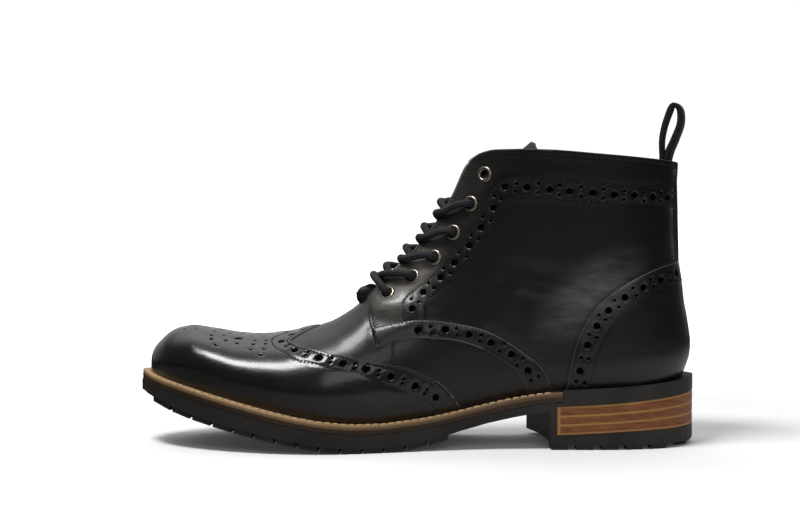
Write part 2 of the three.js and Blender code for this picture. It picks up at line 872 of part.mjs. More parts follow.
function makeInsole(loop) {
  const rise = (x) => seatAt(x) + SEAT_GAP;
  const body = startBody();
  const low = [];
  const high = [];
  for (const plane of loop) {
    const level = [plane.dx, plane.dy, 0];
    let start = [plane.x, plane.y, rise(plane.x) + 1];
    let x = plane.x;
    for (let i = 0; i < 4; i += 1) {
      start = [plane.x, plane.y, rise(x) + 1];
      x = along3(start, level, cast(start, level, WALL_IN - 0.5, 90))[0];
    }
    const rim = along3(start, level, cast(start, level, WALL_IN - 0.5, 90));
    low.push([[plane.x, plane.y, rise(plane.x)], [rim[0], rim[1], rise(rim[0])]]);
    high.push([[plane.x, plane.y, rise(plane.x) + INSOLE_THICK], [rim[0], rim[1], rise(rim[0]) + INSOLE_THICK]]);
  }
  for (let i = 0; i < loop.length - 1; i += 1) {
    body.quad(high[i][0], high[i][1], high[i + 1][1], high[i + 1][0]);
    body.quad(low[i][1], low[i][0], low[i + 1][0], low[i + 1][1]);
    body.quad(high[i][1], low[i][1], low[i + 1][1], high[i + 1][1]);
  }
  return toSolid(body);
}

function makeTongue() {
  const insetAt = spline(TONGUE.angle, TONGUE.inset);
  const halfAt = spline(TONGUE.angle, TONGUE.half);
  const first = TONGUE.angle[0];
  const final = TONGUE.angle[TONGUE.angle.length - 1];
  const across = 6;
  const lengths = TONGUE_STEPS;
  const point = (angle, share, sink) => {
    const turn = THREE.MathUtils.degToRad(angle);
    const y = halfAt(angle) * share;
    const drop = fanPoint(turn, y, -6);
    const ridge = fanPoint(turn, 0, -6);
    const depth = Math.hypot(drop[0] - FAN.x, drop[2] - FAN.z) - Math.hypot(ridge[0] - FAN.x, ridge[2] - FAN.z);
    const reach = ridgeRadius(turn) + insetAt(angle) + depth + sink;
    return [FAN.x + Math.sin(turn) * reach, y, FAN.z - Math.cos(turn) * reach];
  };
  const body = startBody();
  const skin = [0, TONGUE_THICK].map((sink) => {
    const rows = [];
    for (let i = 0; i <= lengths; i += 1) {
      const angle = first + (final - first) * (i / lengths);
      const row = [];
      for (let k = 0; k <= across; k += 1) row.push(point(angle, -1 + (2 * k) / across, sink));
      rows.push(row);
    }
    return rows;
  });
  const [face, lining] = skin;
  for (let i = 0; i < lengths; i += 1) {
    for (let k = 0; k < across; k += 1) {
      body.quad(face[i][k], face[i][k + 1], face[i + 1][k + 1], face[i + 1][k]);
      body.quad(lining[i][k], lining[i + 1][k], lining[i + 1][k + 1], lining[i][k + 1]);
    }
    body.quad(face[i][0], face[i + 1][0], lining[i + 1][0], lining[i][0]);
    body.quad(face[i][across], lining[i][across], lining[i + 1][across], face[i + 1][across]);
  }
  for (let k = 0; k < across; k += 1) {
    body.quad(face[0][k], lining[0][k], lining[0][k + 1], face[0][k + 1]);
    body.quad(face[lengths][k], face[lengths][k + 1], lining[lengths][k + 1], lining[lengths][k]);
  }
  return toSolid(body);
}

// Round cord or flat band swept along a path
function sweep(points, section2d, steps) {
  const path = new THREE.CatmullRomCurve3(points.map((p) => new THREE.Vector3(...p)), false, "centripetal");
  const shape = new THREE.Shape(section2d.map(([a, b]) => new THREE.Vector2(a, b)));
  const geometry = new THREE.ExtrudeGeometry(shape, { steps, bevelEnabled: false, extrudePath: path });
  const body = startBody();
  const corners = geometry.getAttribute("position");
  const read = (i) => [corners.getX(i), corners.getY(i), corners.getZ(i)];
  for (let i = 0; i < corners.count; i += 3) body.triangle(read(i), read(i + 1), read(i + 2));
  return toSolid(body);
}

function round(radius, sides) {
  return Array.from({ length: sides }, (_, i) => {
    const turn = (2 * Math.PI * i) / sides;
    return [radius * Math.cos(turn), radius * Math.sin(turn)];
  });
}

function eyeletPlace(index, side) {
  const turn = THREE.MathUtils.degToRad(EYELETS.angle[index]);
  const point = fanPoint(turn, side * EYELETS.half[index], PANEL_OUT);
  return { point, normal: outward(point) };
}

// Eyelet: a rolled flange outside and a barrel through the leather
function makeEyelet(index, side) {
  const { point, normal } = eyeletPlace(index, side);
  const profile = [
    [EYELET_HOLE, -4.4],
    [BARREL_RADIUS, -4.4],
    [BARREL_RADIUS, 0.45],
    [EYELET_OUTER, 0.5],
    [EYELET_HOLE + 0.4, 1.1],
    [EYELET_HOLE, -4.4],
  ].map(([r, h]) => new THREE.Vector2(r, h));
  const geometry = new THREE.LatheGeometry(profile, EYELET_SIDES);
  const turn = new THREE.Quaternion().setFromUnitVectors(new THREE.Vector3(0, 1, 0), new THREE.Vector3(...normal));
  const move = new THREE.Matrix4().compose(new THREE.Vector3(...point), turn, new THREE.Vector3(1, 1, 1));
  geometry.applyMatrix4(move);
  const index3 = geometry.getIndex();
  const corners = geometry.getAttribute("position");
  const read = (i) => [corners.getX(index3.getX(i)), corners.getY(index3.getX(i)), corners.getZ(index3.getX(i))];
  const body = startBody();
  for (let i = 0; i < index3.count; i += 3) body.triangle(read(i), read(i + 1), read(i + 2));
  return toSolid(body);
}

function eyeletHole(index, side) {
  const { point, normal } = eyeletPlace(index, side);
  const ends = [along3(point, normal, -9), along3(point, normal, 5)];
  return sweep(ends, round(BARREL_HOLE, 8), 1);
}

// Place over the facing: angle in the fan, distance from the centre plane, height over the leather
function overFacing(angle, y, lift) {
  const point = fanPoint(THREE.MathUtils.degToRad(angle), y, PANEL_OUT);
  return along3(point, outward(point), lift);
}

function edgeHalf(angle) {
  return throatHalf(fanPoint(THREE.MathUtils.degToRad(angle), 12, PANEL_OUT)[0]);
}

// One strand, from an eyelet mouth over the facing edge and under the other facing
function strand(index, side) {
  const high = EYELETS.angle[index];
  const low = EYELETS.angle[index - 1];
  const half = EYELETS.half[index];
  const mouth = eyeletPlace(index, side);
  const angleAt = (share) => low + (high - low) * share;
  const edge = edgeHalf(angleAt(0.3));
  return sweep([
    along3(mouth.point, mouth.normal, -3.2),
    along3(mouth.point, mouth.normal, 0.1),
    overFacing(angleAt(1), side * half, 1.9),
    overFacing(angleAt(0.84), side * (half - 2.2), 3.9),
    overFacing(angleAt(0.44), side * (edge + 2.6), 3),
    overFacing(angleAt(0.3), side * (edge - 2.4), 1.6),
    overFacing(angleAt(0.35), side * (edge - 8), -4.9),
    overFacing(angleAt(0.36), 0, -5.8),
    overFacing(angleAt(0.2), -side * (edge + 3), -6.3),
  ], round(LACE_RADIUS, LACE_SIDES), LACE_STEPS);
}

function makeBar() {
  const near = eyeletPlace(0, -1);
  const far = eyeletPlace(0, 1);
  const angle = EYELETS.angle[0];
  const half = EYELETS.half[0];
  return sweep([
    along3(near.point, near.normal, -3.2),
    along3(near.point, near.normal, 0.1),
    overFacing(angle, -half, 1.9),
    overFacing(angle, -half + 2.6, 3.9),
    overFacing(angle, -9, 4.4),
    overFacing(angle, 0, 4.6),
    overFacing(angle, 9, 4.4),
    overFacing(angle, half - 2.6, 3.9),
    overFacing(angle, half, 1.9),
    along3(far.point, far.normal, 0.1),
    along3(far.point, far.normal, -3.2),
  ], round(LACE_RADIUS, LACE_SIDES), LACE_STEPS + 3);
}

function makeLoop() {
  const points = LOOP.x.map((x, i) => [x, 0, LOOP.z[i]]);
  const half = LOOP_WIDTH / 2;
  const thin = LOOP_THICK / 2;
  return sweep(points, [[-half, -thin], [half, -thin], [half, thin], [-half, thin]], LOOP_STEPS);
}

const stations = [-222, -204, -187, -172, -158, -147.5, -143.5, -133, -121, -109, -98, -89, -81, -74, -52, -30,
  HEEL_AXIS_X];
const outerPlanes = halfPlanes(-1, stations);
const innerPlanes = halfPlanes(1, stations);
const loop = [...outerPlanes, ...innerPlanes.slice(0, -1).reverse()];

const boot = new THREE.Group();

function add(name, solid, material) {
  const mesh = solid.simplify(MESH_TOLERANCE).getMesh();
  const corners = new Float32Array(mesh.numVert * 3);
  for (let i = 0; i < mesh.numVert; i += 1) {
    corners[3 * i] = mesh.vertProperties[mesh.numProp * i] * alongX;
    corners[3 * i + 1] = mesh.vertProperties[mesh.numProp * i + 1] * alongY;
    corners[3 * i + 2] = mesh.vertProperties[mesh.numProp * i + 2] * alongZ;
  }
  const geometry = new THREE.BufferGeometry();
  geometry.setAttribute("position", new THREE.BufferAttribute(corners, 3));
  geometry.setIndex(new THREE.BufferAttribute(new Uint32Array(mesh.triVerts), 1));
  const item = new THREE.Mesh(geometry, material);
  item.name = name;
  boot.add(item);
}

const leather = new THREE.MeshStandardMaterial({ color: 0x211e1d, roughness: 0.38, metalness: 0 });
const lining = new THREE.MeshStandardMaterial({ color: 0x1b1a1a, roughness: 0.6, metalness: 0 });
const weltLeather = new THREE.MeshStandardMaterial({ color: 0xb98f5f, roughness: 0.6, metalness: 0 });
const brownStrip = new THREE.MeshStandardMaterial({ color: 0x4a3325, roughness: 0.6, metalness: 0 });
const rubber = new THREE.MeshStandardMaterial({ color: 0x2b2b2b, roughness: 0.65, metalness: 0 });
const stack = new THREE.MeshStandardMaterial({ color: 0x70452a, roughness: 0.5, metalness: 0 });
const nickel = new THREE.MeshStandardMaterial({ color: 0xb8b6b2, roughness: 0.25, metalness: 1 });
const cord = new THREE.MeshStandardMaterial({ color: 0x1d1d24, roughness: 0.8, metalness: 0 });
const tape = new THREE.MeshStandardMaterial({ color: 0x2a2a2a, roughness: 0.85, metalness: 0 });

const holes = [];
for (let index = 0; index < EYELETS.half.length; index += 1) {
  for (const side of [-1, 1]) holes.push(eyeletHole(index, side));
}

let upper = sheet(loop, WALL_OUT, WALL_IN, EDGE_SETBACK, WALL_ROWS, SEAT_GAP);
for (const hole of holes) upper = upper.subtract(hole);
add("upper", upper, leather);

// Quarters: the sheet behind the front edge and above the lower edge
const quarterGap = [...rowsOf(QUARTER_FRONT).slice(0, -1), ...rowsOf(QUARTER_EDGE), [-57, 5], [-170, 5], [-170, 100]];
for (const [name, planes, side] of [["quarter_outer", outerPlanes, -1], ["quarter_inner", innerPlanes, 1]]) {
  const part = planes.filter((plane) => plane.x > -150);
  const ends = part.slice(0, -1);
  ends.push({ x: HEEL_AXIS_X, y: 0, dx: 1, dy: side * 0.006 });
  let quarter = sheet(ends, PANEL_OUT, PANEL_IN, 0, PANEL_ROWS, SEAT_GAP);
  quarter = quarter.subtract(prism(quarterGap, "xz", -80, 80));
  for (const hole of holes.filter((_, i) => (i % 2 === 0) === side < 0)) quarter = quarter.subtract(hole);
  add(name, quarter, leather);
}

// Wing cap: side edges cut in the side view, the peak and its valleys cut in plan
const capPlanes = loop.filter((plane) => plane.x < -85);
const split = capPlanes.findIndex((plane, i) => i > 0 && plane.dy > 0 && capPlanes[i - 1].dy < 0);
const capLoop = [...capPlanes.slice(split).slice(0, -1), ...capPlanes.slice(0, split)];
const sideCut = [...rowsOf(WING_EDGE), [-60, 14], [-60, 220], [-187.6, 220]];
const peakCut = [[PEAK_X, 0], [-187.6, -VALLEY_HALF], [-80, -VALLEY_HALF], [-80, VALLEY_HALF], [-187.6, VALLEY_HALF]];
let cap = sheet(capLoop, PANEL_OUT, PANEL_IN, 0, PANEL_ROWS, SEAT_GAP);
cap = cap.subtract(prism(sideCut, "xz", -90, -VALLEY_HALF));
cap = cap.subtract(prism(sideCut, "xz", VALLEY_HALF, 90));
cap = cap.subtract(prism(peakCut, "xy", 5, 220));
add("wing_cap", cap, leather);

const counterPlanes = loop.filter((plane) => plane.x > -50);
const counterKeep = [...rowsOf(COUNTER_EDGE), [44, 5], [-37.5, 5]];
let counter = sheet(counterPlanes, COUNTER_OUT, COUNTER_IN, 0, PANEL_ROWS, SEAT_GAP);
counter = counter.intersect(prism(counterKeep, "xz", -80, 80));
add("heel_counter", counter, leather);

add("tongue", makeTongue(), leather);
add("insole", makeInsole(loop), lining);
add("welt", makeWelt(), weltLeather);
add("midsole", makeMidsole(), brownStrip);
add("outsole", makeOutsole(), rubber);
for (let i = 0; i < LIFT_COUNT; i += 1) add(`heel_lift_${i + 1}`, makeLift(i), stack);
for (let i = 0; i < EYELETS.half.length; i += 1) {
  add(`eyelet_outer_${i + 1}`, makeEyelet(i, -1), nickel);
  add(`eyelet_inner_${i + 1}`, makeEyelet(i, 1), nickel);
}
add("lace_bar", makeBar(), cord);
for (let i = 1; i < EYELETS.half.length - 1; i += 1) {
  add(`lace_cross_${i}`, strand(i, -1).add(strand(i, 1)), cord);
}
add("pull_loop", makeLoop(), tape);

export default boot;
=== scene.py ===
import math
import bpy
import numpy as np
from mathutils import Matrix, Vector
from mathutils.geometry import delaunay_2d_cdt


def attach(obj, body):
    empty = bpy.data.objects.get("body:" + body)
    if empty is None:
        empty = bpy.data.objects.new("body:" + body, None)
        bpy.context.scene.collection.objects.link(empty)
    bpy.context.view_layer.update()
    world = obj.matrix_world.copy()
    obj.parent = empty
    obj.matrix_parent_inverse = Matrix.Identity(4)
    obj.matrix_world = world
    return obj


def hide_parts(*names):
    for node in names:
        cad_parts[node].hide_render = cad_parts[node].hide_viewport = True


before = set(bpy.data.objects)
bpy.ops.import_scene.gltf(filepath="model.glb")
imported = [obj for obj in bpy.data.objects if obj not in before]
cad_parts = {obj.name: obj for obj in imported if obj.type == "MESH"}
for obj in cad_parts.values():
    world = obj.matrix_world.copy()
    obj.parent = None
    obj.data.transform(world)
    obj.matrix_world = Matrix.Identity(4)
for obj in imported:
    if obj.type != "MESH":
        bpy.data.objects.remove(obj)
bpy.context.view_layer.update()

mm = 0.001  # every size below is in millimetres, and meshes are written in metres


def smoothCurve(xs, ys):
    # a cubic through the points whose slopes are limited, so it never overshoots, kept as a fine table
    xs, ys = np.asarray(xs, float), np.asarray(ys, float)
    step = np.diff(xs)
    rise = np.diff(ys) / step
    slope = np.zeros_like(xs)
    before, after = 2 * step[1:] + step[:-1], step[1:] + 2 * step[:-1]
    same = rise[:-1] * rise[1:] > 0
    lower, upper = np.where(same, rise[:-1], 1), np.where(same, rise[1:], 1)
    slope[1:-1] = np.where(same, (before + after) / (before / lower + after / upper), 0)
    slope[0], slope[-1] = rise[0], rise[-1]
    fine = np.unique(np.concatenate([np.linspace(xs[0], xs[-1], 1600), xs]))
    k = np.clip(np.searchsorted(xs, fine, side="right") - 1, 0, len(xs) - 2)
    t = (fine - xs[k]) / step[k]
    s = 1 - t
    value = (1 + 2 * t) * s * s * ys[k] + t * s * s * step[k] * slope[k]
    value += t * t * (3 - 2 * t) * ys[k + 1] - t * t * s * step[k] * slope[k + 1]
    return lambda q: np.interp(q, fine, value)


def ease(value):
    # smooth step between 0 and 1: 3 t squared less 2 t cubed
    t = np.clip(value, 0, 1)
    return t * t * (3 - 2 * t)


def unit(vectors):
    # each vector over its own length
    return vectors / np.maximum(np.linalg.norm(vectors, axis=-1, keepdims=True), 1e-9)


def through(points, step):
    # a centripetal curve through the points, cut into equal lengths of about one step
    points = np.asarray(points, float)
    ends = np.vstack([2 * points[0] - points[1], points, 2 * points[-1] - points[-2]])
    knots = np.concatenate([[0], np.cumsum(np.sqrt(np.linalg.norm(np.diff(ends, axis=0), axis=1)) + 1e-6)])
    rows = []
    for i in range(1, len(ends) - 2):
        t = np.linspace(knots[i], knots[i + 1], 24, endpoint=False)[:, None]
        p, k = ends[i - 1:i + 3], knots[i - 1:i + 3]
        a = [(k[j + 1] - t) / (k[j + 1] - k[j]) * p[j] + (t - k[j]) / (k[j + 1] - k[j]) * p[j + 1] for j in range(3)]
        b = [(k[j + 2] - t) / (k[j + 2] - k[j]) * a[j] + (t - k[j]) / (k[j + 2] - k[j]) * a[j + 1] for j in range(2)]
        rows.append((k[2] - t) / (k[2] - k[1]) * b[0] + (t - k[1]) / (k[2] - k[1]) * b[1])
    return evenly(np.vstack(rows + [points[-1:]]), step)


def evenly(points, step):
    # the same line with its points spread evenly, about one step apart
    far = np.concatenate([[0], np.cumsum(np.linalg.norm(np.diff(points, axis=0), axis=1))])
    count = max(2, int(round(far[-1] / step)) + 1)
    want = np.linspace(0, far[-1], count)
    return np.column_stack([np.interp(want, far, points[:, i]) for i in range(points.shape[1])])


# The last: one closed form that every leather piece is cut from
ridge = np.array([  # profile on the centre line, toe to collar: x, z, and how deep the top rounds over
    (-265.6, 38, 4), (-265.4, 44, 8), (-264.6, 49, 11), (-262.6, 53, 14), (-260, 56, 16), (-254.5, 60.8, 19),
    (-249, 63.2, 21), (-243, 64.2, 22), (-236, 63.4, 23), (-227, 62, 25), (-216, 60.2, 27), (-202, 59.7, 30),
    (-190, 60.9, 34), (-180, 63.2, 38), (-171, 65.6, 41), (-162, 69.2, 45), (-154, 74.2, 49), (-146, 81.4, 52),
    (-138, 89.9, 54), (-130, 99, 55), (-121, 109.6, 55), (-112, 121, 54), (-104, 132.6, 52), (-97.5, 144.2, 50),
    (-92.5, 155.4, 48), (-87.5, 168.4, 47), (-82, 184.4, 46)])
heelLine = np.array([  # back of the heel and shaft: z, x, depth of its rounding
    (30, 27.6, 38), (38, 28.8, 39), (42, 30.1, 40), (46.5, 31.7, 41), (51, 32.7, 42), (56.5, 32.9, 43), (63, 32.1, 44),
    (70, 31, 45), (79, 29.3, 46), (91, 27.9, 47), (100, 26.4, 48), (107, 25.4, 48), (115, 24.6, 48),
    (127.5, 24.3, 48), (137, 24.8, 48), (142.5, 25.3, 48), (152, 25.9, 48), (160, 26.4, 48)])
plan = np.array([  # seen from above: x, reach to the outer side, reach to the inner side
    (-265.6, -4.5, 4.5), (-264.6, 4, 13), (-261, 12, 21.5), (-255, 20, 29.6), (-247, 27, 36.2), (-236, 33.4, 41.8),
    (-222, 39, 45.6), (-206, 43.4, 47.8), (-188, 46.8, 48.4), (-170, 48, 46.8), (-152, 45.6, 42.8),
    (-134, 40.8, 37.4), (-116, 36.4, 32.4), (-98, 33.4, 29.4), (-80, 31.6, 28.4), (-60, 30.8, 28.8),
    (-40, 30.9, 29.6), (-20, 31.2, 30.4), (0, 31.2, 30.8), (40, 31.2, 31)])
shaft = np.array([  # half widths of the shaft: z, outer, inner
    (50, 31.5, 31), (70, 31.5, 31.5), (90, 31.5, 32), (105, 32, 32.5), (120, 32.6, 32.8), (140, 33.4, 33.2),
    (160, 34.2, 34), (180, 35, 34.8)])
seatLine = np.array([  # top of the welt, where the upper sits: x, z
    (-272, 41.6), (-263, 39), (-248, 35.6), (-237, 32.9), (-223.5, 29.5), (-209.7, 26.1), (-195, 22.7), (-180, 19.6),
    (-164, 17.2), (-148, 16), (-137, 16), (-127, 16.8), (-116, 17.9), (-105, 19.7), (-94, 22), (-78, 25.7),
    (-67, 28.1), (-55, 30.2), (-44, 31.6), (-35, 32.1), (-20, 32.8), (0, 34.1), (18, 35.8), (36, 38)])
last = dict(fanX=-275, fanZ=265, toeX=-222, heelX=-8, sidePower=2.35, topPower=2.15, backPower=2.3,
            toeZone=-215, toeLength=50.5, toeHalf=44, tuck=2.6, tuckHeight=15, knee=12, heelTurn=34,
            shaftLow=48, shaftRise=58, shaftFront=-170, shaftRun=50, roundness=0.525, middleHeight=60.0)

seatAt = smoothCurve(seatLine[:, 0], seatLine[:, 1])
planOuter, planInner = smoothCurve(plan[:, 0], plan[:, 1]), smoothCurve(plan[:, 0], plan[:, 2])
shaftOuter, shaftInner = smoothCurve(shaft[:, 0], shaft[:, 1]), smoothCurve(shaft[:, 0], shaft[:, 2])
backX, backDepth = smoothCurve(heelLine[:, 0], heelLine[:, 1]), smoothCurve(heelLine[:, 0], heelLine[:, 2])
ridgeAngle = np.arctan2(ridge[:, 0] - last["fanX"], last["fanZ"] - ridge[:, 1])
ridgeRadius = smoothCurve(ridgeAngle, np.hypot(ridge[:, 0] - last["fanX"], last["fanZ"] - ridge[:, 1]))
ridgeDepth = smoothCurve(ridgeAngle, ridge[:, 2])
ridgeZ = smoothCurve(ridge[:, 0], ridge[:, 1])


def spread(x, z, offset=0.0):
    # centre line and half width of the form at one x and z, grown by the offset
    inToe = x < last["toeZone"]
    beyond = (x - last["toeZone"]) * last["toeLength"] / (last["toeLength"] + offset)
    along = np.where(inToe, last["toeZone"] + beyond, x)
    outer, inner = planOuter(along), planInner(along)
    outer = outer + np.where(inToe, offset * outer / last["toeHalf"], offset)
    inner = inner + np.where(inToe, offset * inner / last["toeHalf"], offset)
    blend = ease((z - last["shaftLow"]) / last["shaftRise"]) * ease((x - last["shaftFront"]) / last["shaftRun"])
    outer = outer + (shaftOuter(z) + offset - outer) * blend
    inner = inner + (shaftInner(z) + offset - inner) * blend
    low = np.clip(1 - (z - seatAt(x)) / last["tuckHeight"], 0, 1.6)
    half = (outer + inner) / 2
    half = half - last["tuck"] * low * low * np.clip(half / 20, 0.15, 1)
    return (inner - outer) / 2, np.maximum(half, 0.02), along


def form(p, offset=0.0):
    # side term + top term + back term - 1: below zero inside the last, zero on its skin
    x, y, z = p[..., 0], p[..., 1], p[..., 2]
    centre, half, along = spread(x, z, offset)
    angle = np.arctan2(along - last["fanX"], last["fanZ"] - z)
    reach = np.hypot(along - last["fanX"], last["fanZ"] - z)
    top = np.maximum(1 - (reach - ridgeRadius(angle) + offset) / (ridgeDepth(angle) + offset), 0)
    back = np.maximum(1 - (backX(z) + offset - x) / (backDepth(z) + offset), 0)
    side = (np.abs(y - centre) / half) ** last["sidePower"]
    return side + top ** last["topPower"] + back ** last["backPower"] - 1


def cast(start, direction, offset=0.0, reach=210.0):
    # where each ray leaves the form, by halving the stretch that still holds the skin
    near, far = np.zeros(len(start)), np.full(len(start), reach)
    for _ in range(23):
        middle = (near + far) / 2
        inside = form(start + direction * middle[:, None], offset) < 0
        near, far = np.where(inside, middle, near), np.where(inside, far, middle)
    return start + direction * near[:, None]


def outward(p, e=0.2):
    # direction in which the form grows fastest
    steps = np.eye(3) * e
    return unit(np.stack([form(p + s) - form(p - s) for s in steps], axis=-1))


def kneeOf(x):
    # the inner point that rays start from, and the size of the section round it
    z = seatAt(x) + last["knee"]
    centre, half, _ = spread(x, z)
    high = ridgeZ(x) - z
    return np.stack([x, centre, z], axis=-1), half, high, last["roundness"] * (half + high)


def capRays(uv):
    # flat pattern of the front: distance down from the ridge, with the toe unrolled round its own axis
    x = np.maximum(uv[:, 0], last["toeX"])
    knee, half, high, radius = kneeOf(x)
    flat = np.stack([uv[:, 0] - x, uv[:, 1]], axis=-1)
    down = np.linalg.norm(flat, axis=1)
    flat = flat / np.maximum(down, 1e-6)[:, None]
    turn = down / radius
    return knee, unit(np.column_stack([flat * (half * np.sin(turn))[:, None], high * np.cos(turn)]))


def toCap(p):
    # the flat place of a point in the front's pattern
    x = np.maximum(p[:, 0], last["toeX"])
    knee, half, high, radius = kneeOf(x)
    flat = p[:, :2] - knee[:, :2]
    far = np.maximum(np.linalg.norm(flat, axis=1), 1e-6)
    turn = np.arctan2(far / half, (p[:, 2] - knee[:, 2]) / high)
    return np.column_stack([x, np.zeros(len(x))]) + flat / far[:, None] * (radius * turn)[:, None]


heelBack = last["heelX"] + last["heelTurn"] * math.pi / 2  # place of the back seam in the pattern


def wrapRays(uv):
    # flat pattern of the rest: along the outer side, round the heel and forward on the inner side
    side = np.where(uv[:, 0] < heelBack, -1.0, 1.0)
    along = np.where(uv[:, 0] < heelBack, uv[:, 0], 2 * heelBack - uv[:, 0])
    x = np.minimum(along, last["heelX"])
    knee, half, high, radius = kneeOf(x)
    swing = np.clip((along - last["heelX"]) / last["heelTurn"], 0, math.pi / 2)
    turn = uv[:, 1] / radius
    out = half * np.sin(turn)
    return knee, unit(np.column_stack([np.sin(swing) * out, side * np.cos(swing) * out, high * np.cos(turn)]))


def toWrap(p):
    # the flat place of a point in the side pattern
    x = np.minimum(p[:, 0], last["heelX"])
    knee, half, high, radius = kneeOf(x)
    flat = p[:, :2] - knee[:, :2]
    swing = np.arctan2(np.maximum(flat[:, 0], 0), np.abs(flat[:, 1]))
    turn = np.arctan2(np.linalg.norm(flat, axis=1) / half, (p[:, 2] - knee[:, 2]) / high)
    along = np.where(p[:, 0] < last["heelX"], p[:, 0], last["heelX"] + last["heelTurn"] * swing)
    return np.column_stack([np.where(flat[:, 1] < 0, along, 2 * heelBack - along), radius * turn])


def onSkin(rays, uv):
    # flat places of a pattern laid on the last
    return cast(*rays(np.asarray(uv, float)))


def sidePoints(pairs, side=-1):
    # places drawn in the side view, x and z, laid on the skin; past the heel axis x runs round the heel
    pairs = np.asarray(pairs, float)
    x = np.minimum(pairs[:, 0], last["heelX"])
    swing = np.clip((pairs[:, 0] - last["heelX"]) / last["heelTurn"], 0, math.pi / 2)
    start = np.column_stack([x, spread(x, np.full(len(x), last["middleHeight"]))[0], pairs[:, 1]])
    return cast(start, np.column_stack([np.sin(swing), side * np.cos(swing), np.zeros(len(x))]), reach=90)


def sideLine(points, step=1.3, side=-1):
    # a smooth line drawn in the side view, laid on the skin
    return sidePoints(through(points, step), side)


def fromAbove(pairs):
    # places seen from above, x and y, laid on the front
    pairs = np.asarray(pairs, float)
    start = np.column_stack([pairs, seatAt(pairs[:, 0]) + last["knee"]])
    return cast(start, np.tile([0.0, 0.0, 1.0], (len(start), 1)))


def planLine(points, step=1.3):
    # a smooth line drawn in the top view, laid on the skin
    return fromAbove(through(points, step))


def seatEdge(rays, base, way, low=-1.3):
    # flat places where the skin meets the welt: halving down each section from its ridge until it is that low
    along = np.where(base[:, 0] < heelBack, base[:, 0], 2 * heelBack - base[:, 0])
    radius = kneeOf(np.minimum(along, last["heelX"]))[3][:, None]
    near, far = np.full(len(base), 1.2), np.full(len(base), 2.6)
    for _ in range(18):
        middle = (near + far) / 2
        p = cast(*rays(base + way * radius * middle[:, None]))
        above = p[:, 2] > seatAt(p[:, 0]) + low
        near, far = np.where(above, middle, near), np.where(above, far, middle)
    return base + way * radius * near[:, None]


def toeSeat(xBack, step=1.5):
    # the sole line in the front's pattern: outer side forward, round the toe, inner side back
    x = np.arange(xBack, last["toeX"], -step)
    turn = -np.linspace(math.pi / 2, 3 * math.pi / 2, 74)[1:-1]
    n, m = len(x), len(turn)
    base = np.column_stack([np.concatenate([x, np.full(m, last["toeX"]), x[::-1]]), np.zeros(2 * n + m)])
    way = np.vstack([np.tile([0.0, -1.0], (n, 1)), np.column_stack([np.cos(turn), np.sin(turn)]),
                     np.tile([0.0, 1.0], (n, 1))])
    return seatEdge(capRays, base, way)


def sideSeat(start, end, step=1.5):
    # the sole line in the side pattern, from one place along it to another
    u = np.linspace(start, end, int(abs(end - start) / step) + 2)
    return seatEdge(wrapRays, np.column_stack([u, np.zeros(len(u))]), np.tile([0.0, 1.0], (len(u), 1)))


def fanPoint(degrees, y, offset=0.0):
    # the place on the instep at an angle of the fan and a distance from the middle, by halving
    degrees, y = np.broadcast_arrays(np.asarray(degrees, float), np.asarray(y, float))
    turn = np.radians(degrees.ravel())
    start = np.column_stack([np.full(len(turn), last["fanX"]), y.ravel(), np.full(len(turn), last["fanZ"])])
    way = np.column_stack([np.sin(turn), np.zeros(len(turn)), -np.cos(turn)])
    near = ridgeRadius(turn) - offset - 3
    far = near + ridgeDepth(turn)
    for _ in range(26):
        middle = (near + far) / 2
        outside = form(start + way * middle[:, None], offset) > 0
        near, far = np.where(outside, middle, near), np.where(outside, far, middle)
    return start + way * far[:, None]


def addPiece(name, verts, faceSets, material, nodes=(), sharp=38, uv=None, value=None):
    # puts whole arrays of corners and faces into one mesh that rides on the boot
    data = bpy.data.meshes.new(name)
    corners = np.concatenate([f.ravel() for f in faceSets]).astype(np.int32)
    sizes = np.concatenate([np.full(len(f), f.shape[1]) for f in faceSets])
    data.vertices.add(len(verts))
    data.vertices.foreach_set("co", (np.asarray(verts) * mm).astype(np.float32).ravel())
    data.loops.add(len(corners))
    data.loops.foreach_set("vertex_index", corners)
    data.polygons.add(len(sizes))
    data.polygons.foreach_set("loop_start", (np.cumsum(sizes) - sizes).astype(np.int32))
    data.polygons.foreach_set("use_smooth", np.ones(len(sizes), bool))
    data.update(calc_edges=True)
    data.set_sharp_from_angle(angle=math.radians(sharp))
    if uv is not None:
        layer = data.uv_layers.new(name="along")
        layer.data.foreach_set("uv", uv[corners].astype(np.float32).ravel())
    if value is not None:
        mark = data.attributes.new("level", "FLOAT", "POINT")
        mark.data.foreach_set("value", value.astype(np.float32))
    data.materials.append(material)
    piece = bpy.data.objects.new(name, data)
    bpy.context.scene.collection.objects.link(piece)
    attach(piece, "root")
    if nodes:
        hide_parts(*nodes)
    print(name, len(verts), "corners")


pairsAtOnce = 3000000  # whole-array work is done in parts of this size, to stay small in memory


def insideLoops(points, loops):
    # even-odd rule: a point lies inside when a ray to its right meets the loops an odd number of times
    a = np.concatenate(loops)
    b = np.concatenate([np.roll(loop, -1, axis=0) for loop in loops])
    lean = (b[:, 0] - a[:, 0]) / np.where(b[:, 1] == a[:, 1], 1e-9, b[:, 1] - a[:, 1])
    hit = np.zeros(len(points), bool)
    for part in np.array_split(np.arange(len(points)), max(1, len(points) * len(a) // pairsAtOnce)):
        x, y = points[part, :1], points[part, 1:]
        meets = ((a[:, 1] > y) != (b[:, 1] > y)) & (x < a[:, 0] + (y - a[:, 1]) * lean)
        hit[part] = meets.sum(axis=1) % 2 == 1
    return hit


def shifted(line, distance, closed=False):
    # the same flat line moved sideways: each point goes along the mean normal of its two neighbours
    if closed:
        along = np.roll(line, -1, axis=0) - np.roll(line, 1, axis=0)
    else:
        along = np.gradient(line, axis=0)
    along = unit(along)
    return line + np.column_stack([-along[:, 1], along[:, 0]]) * distance


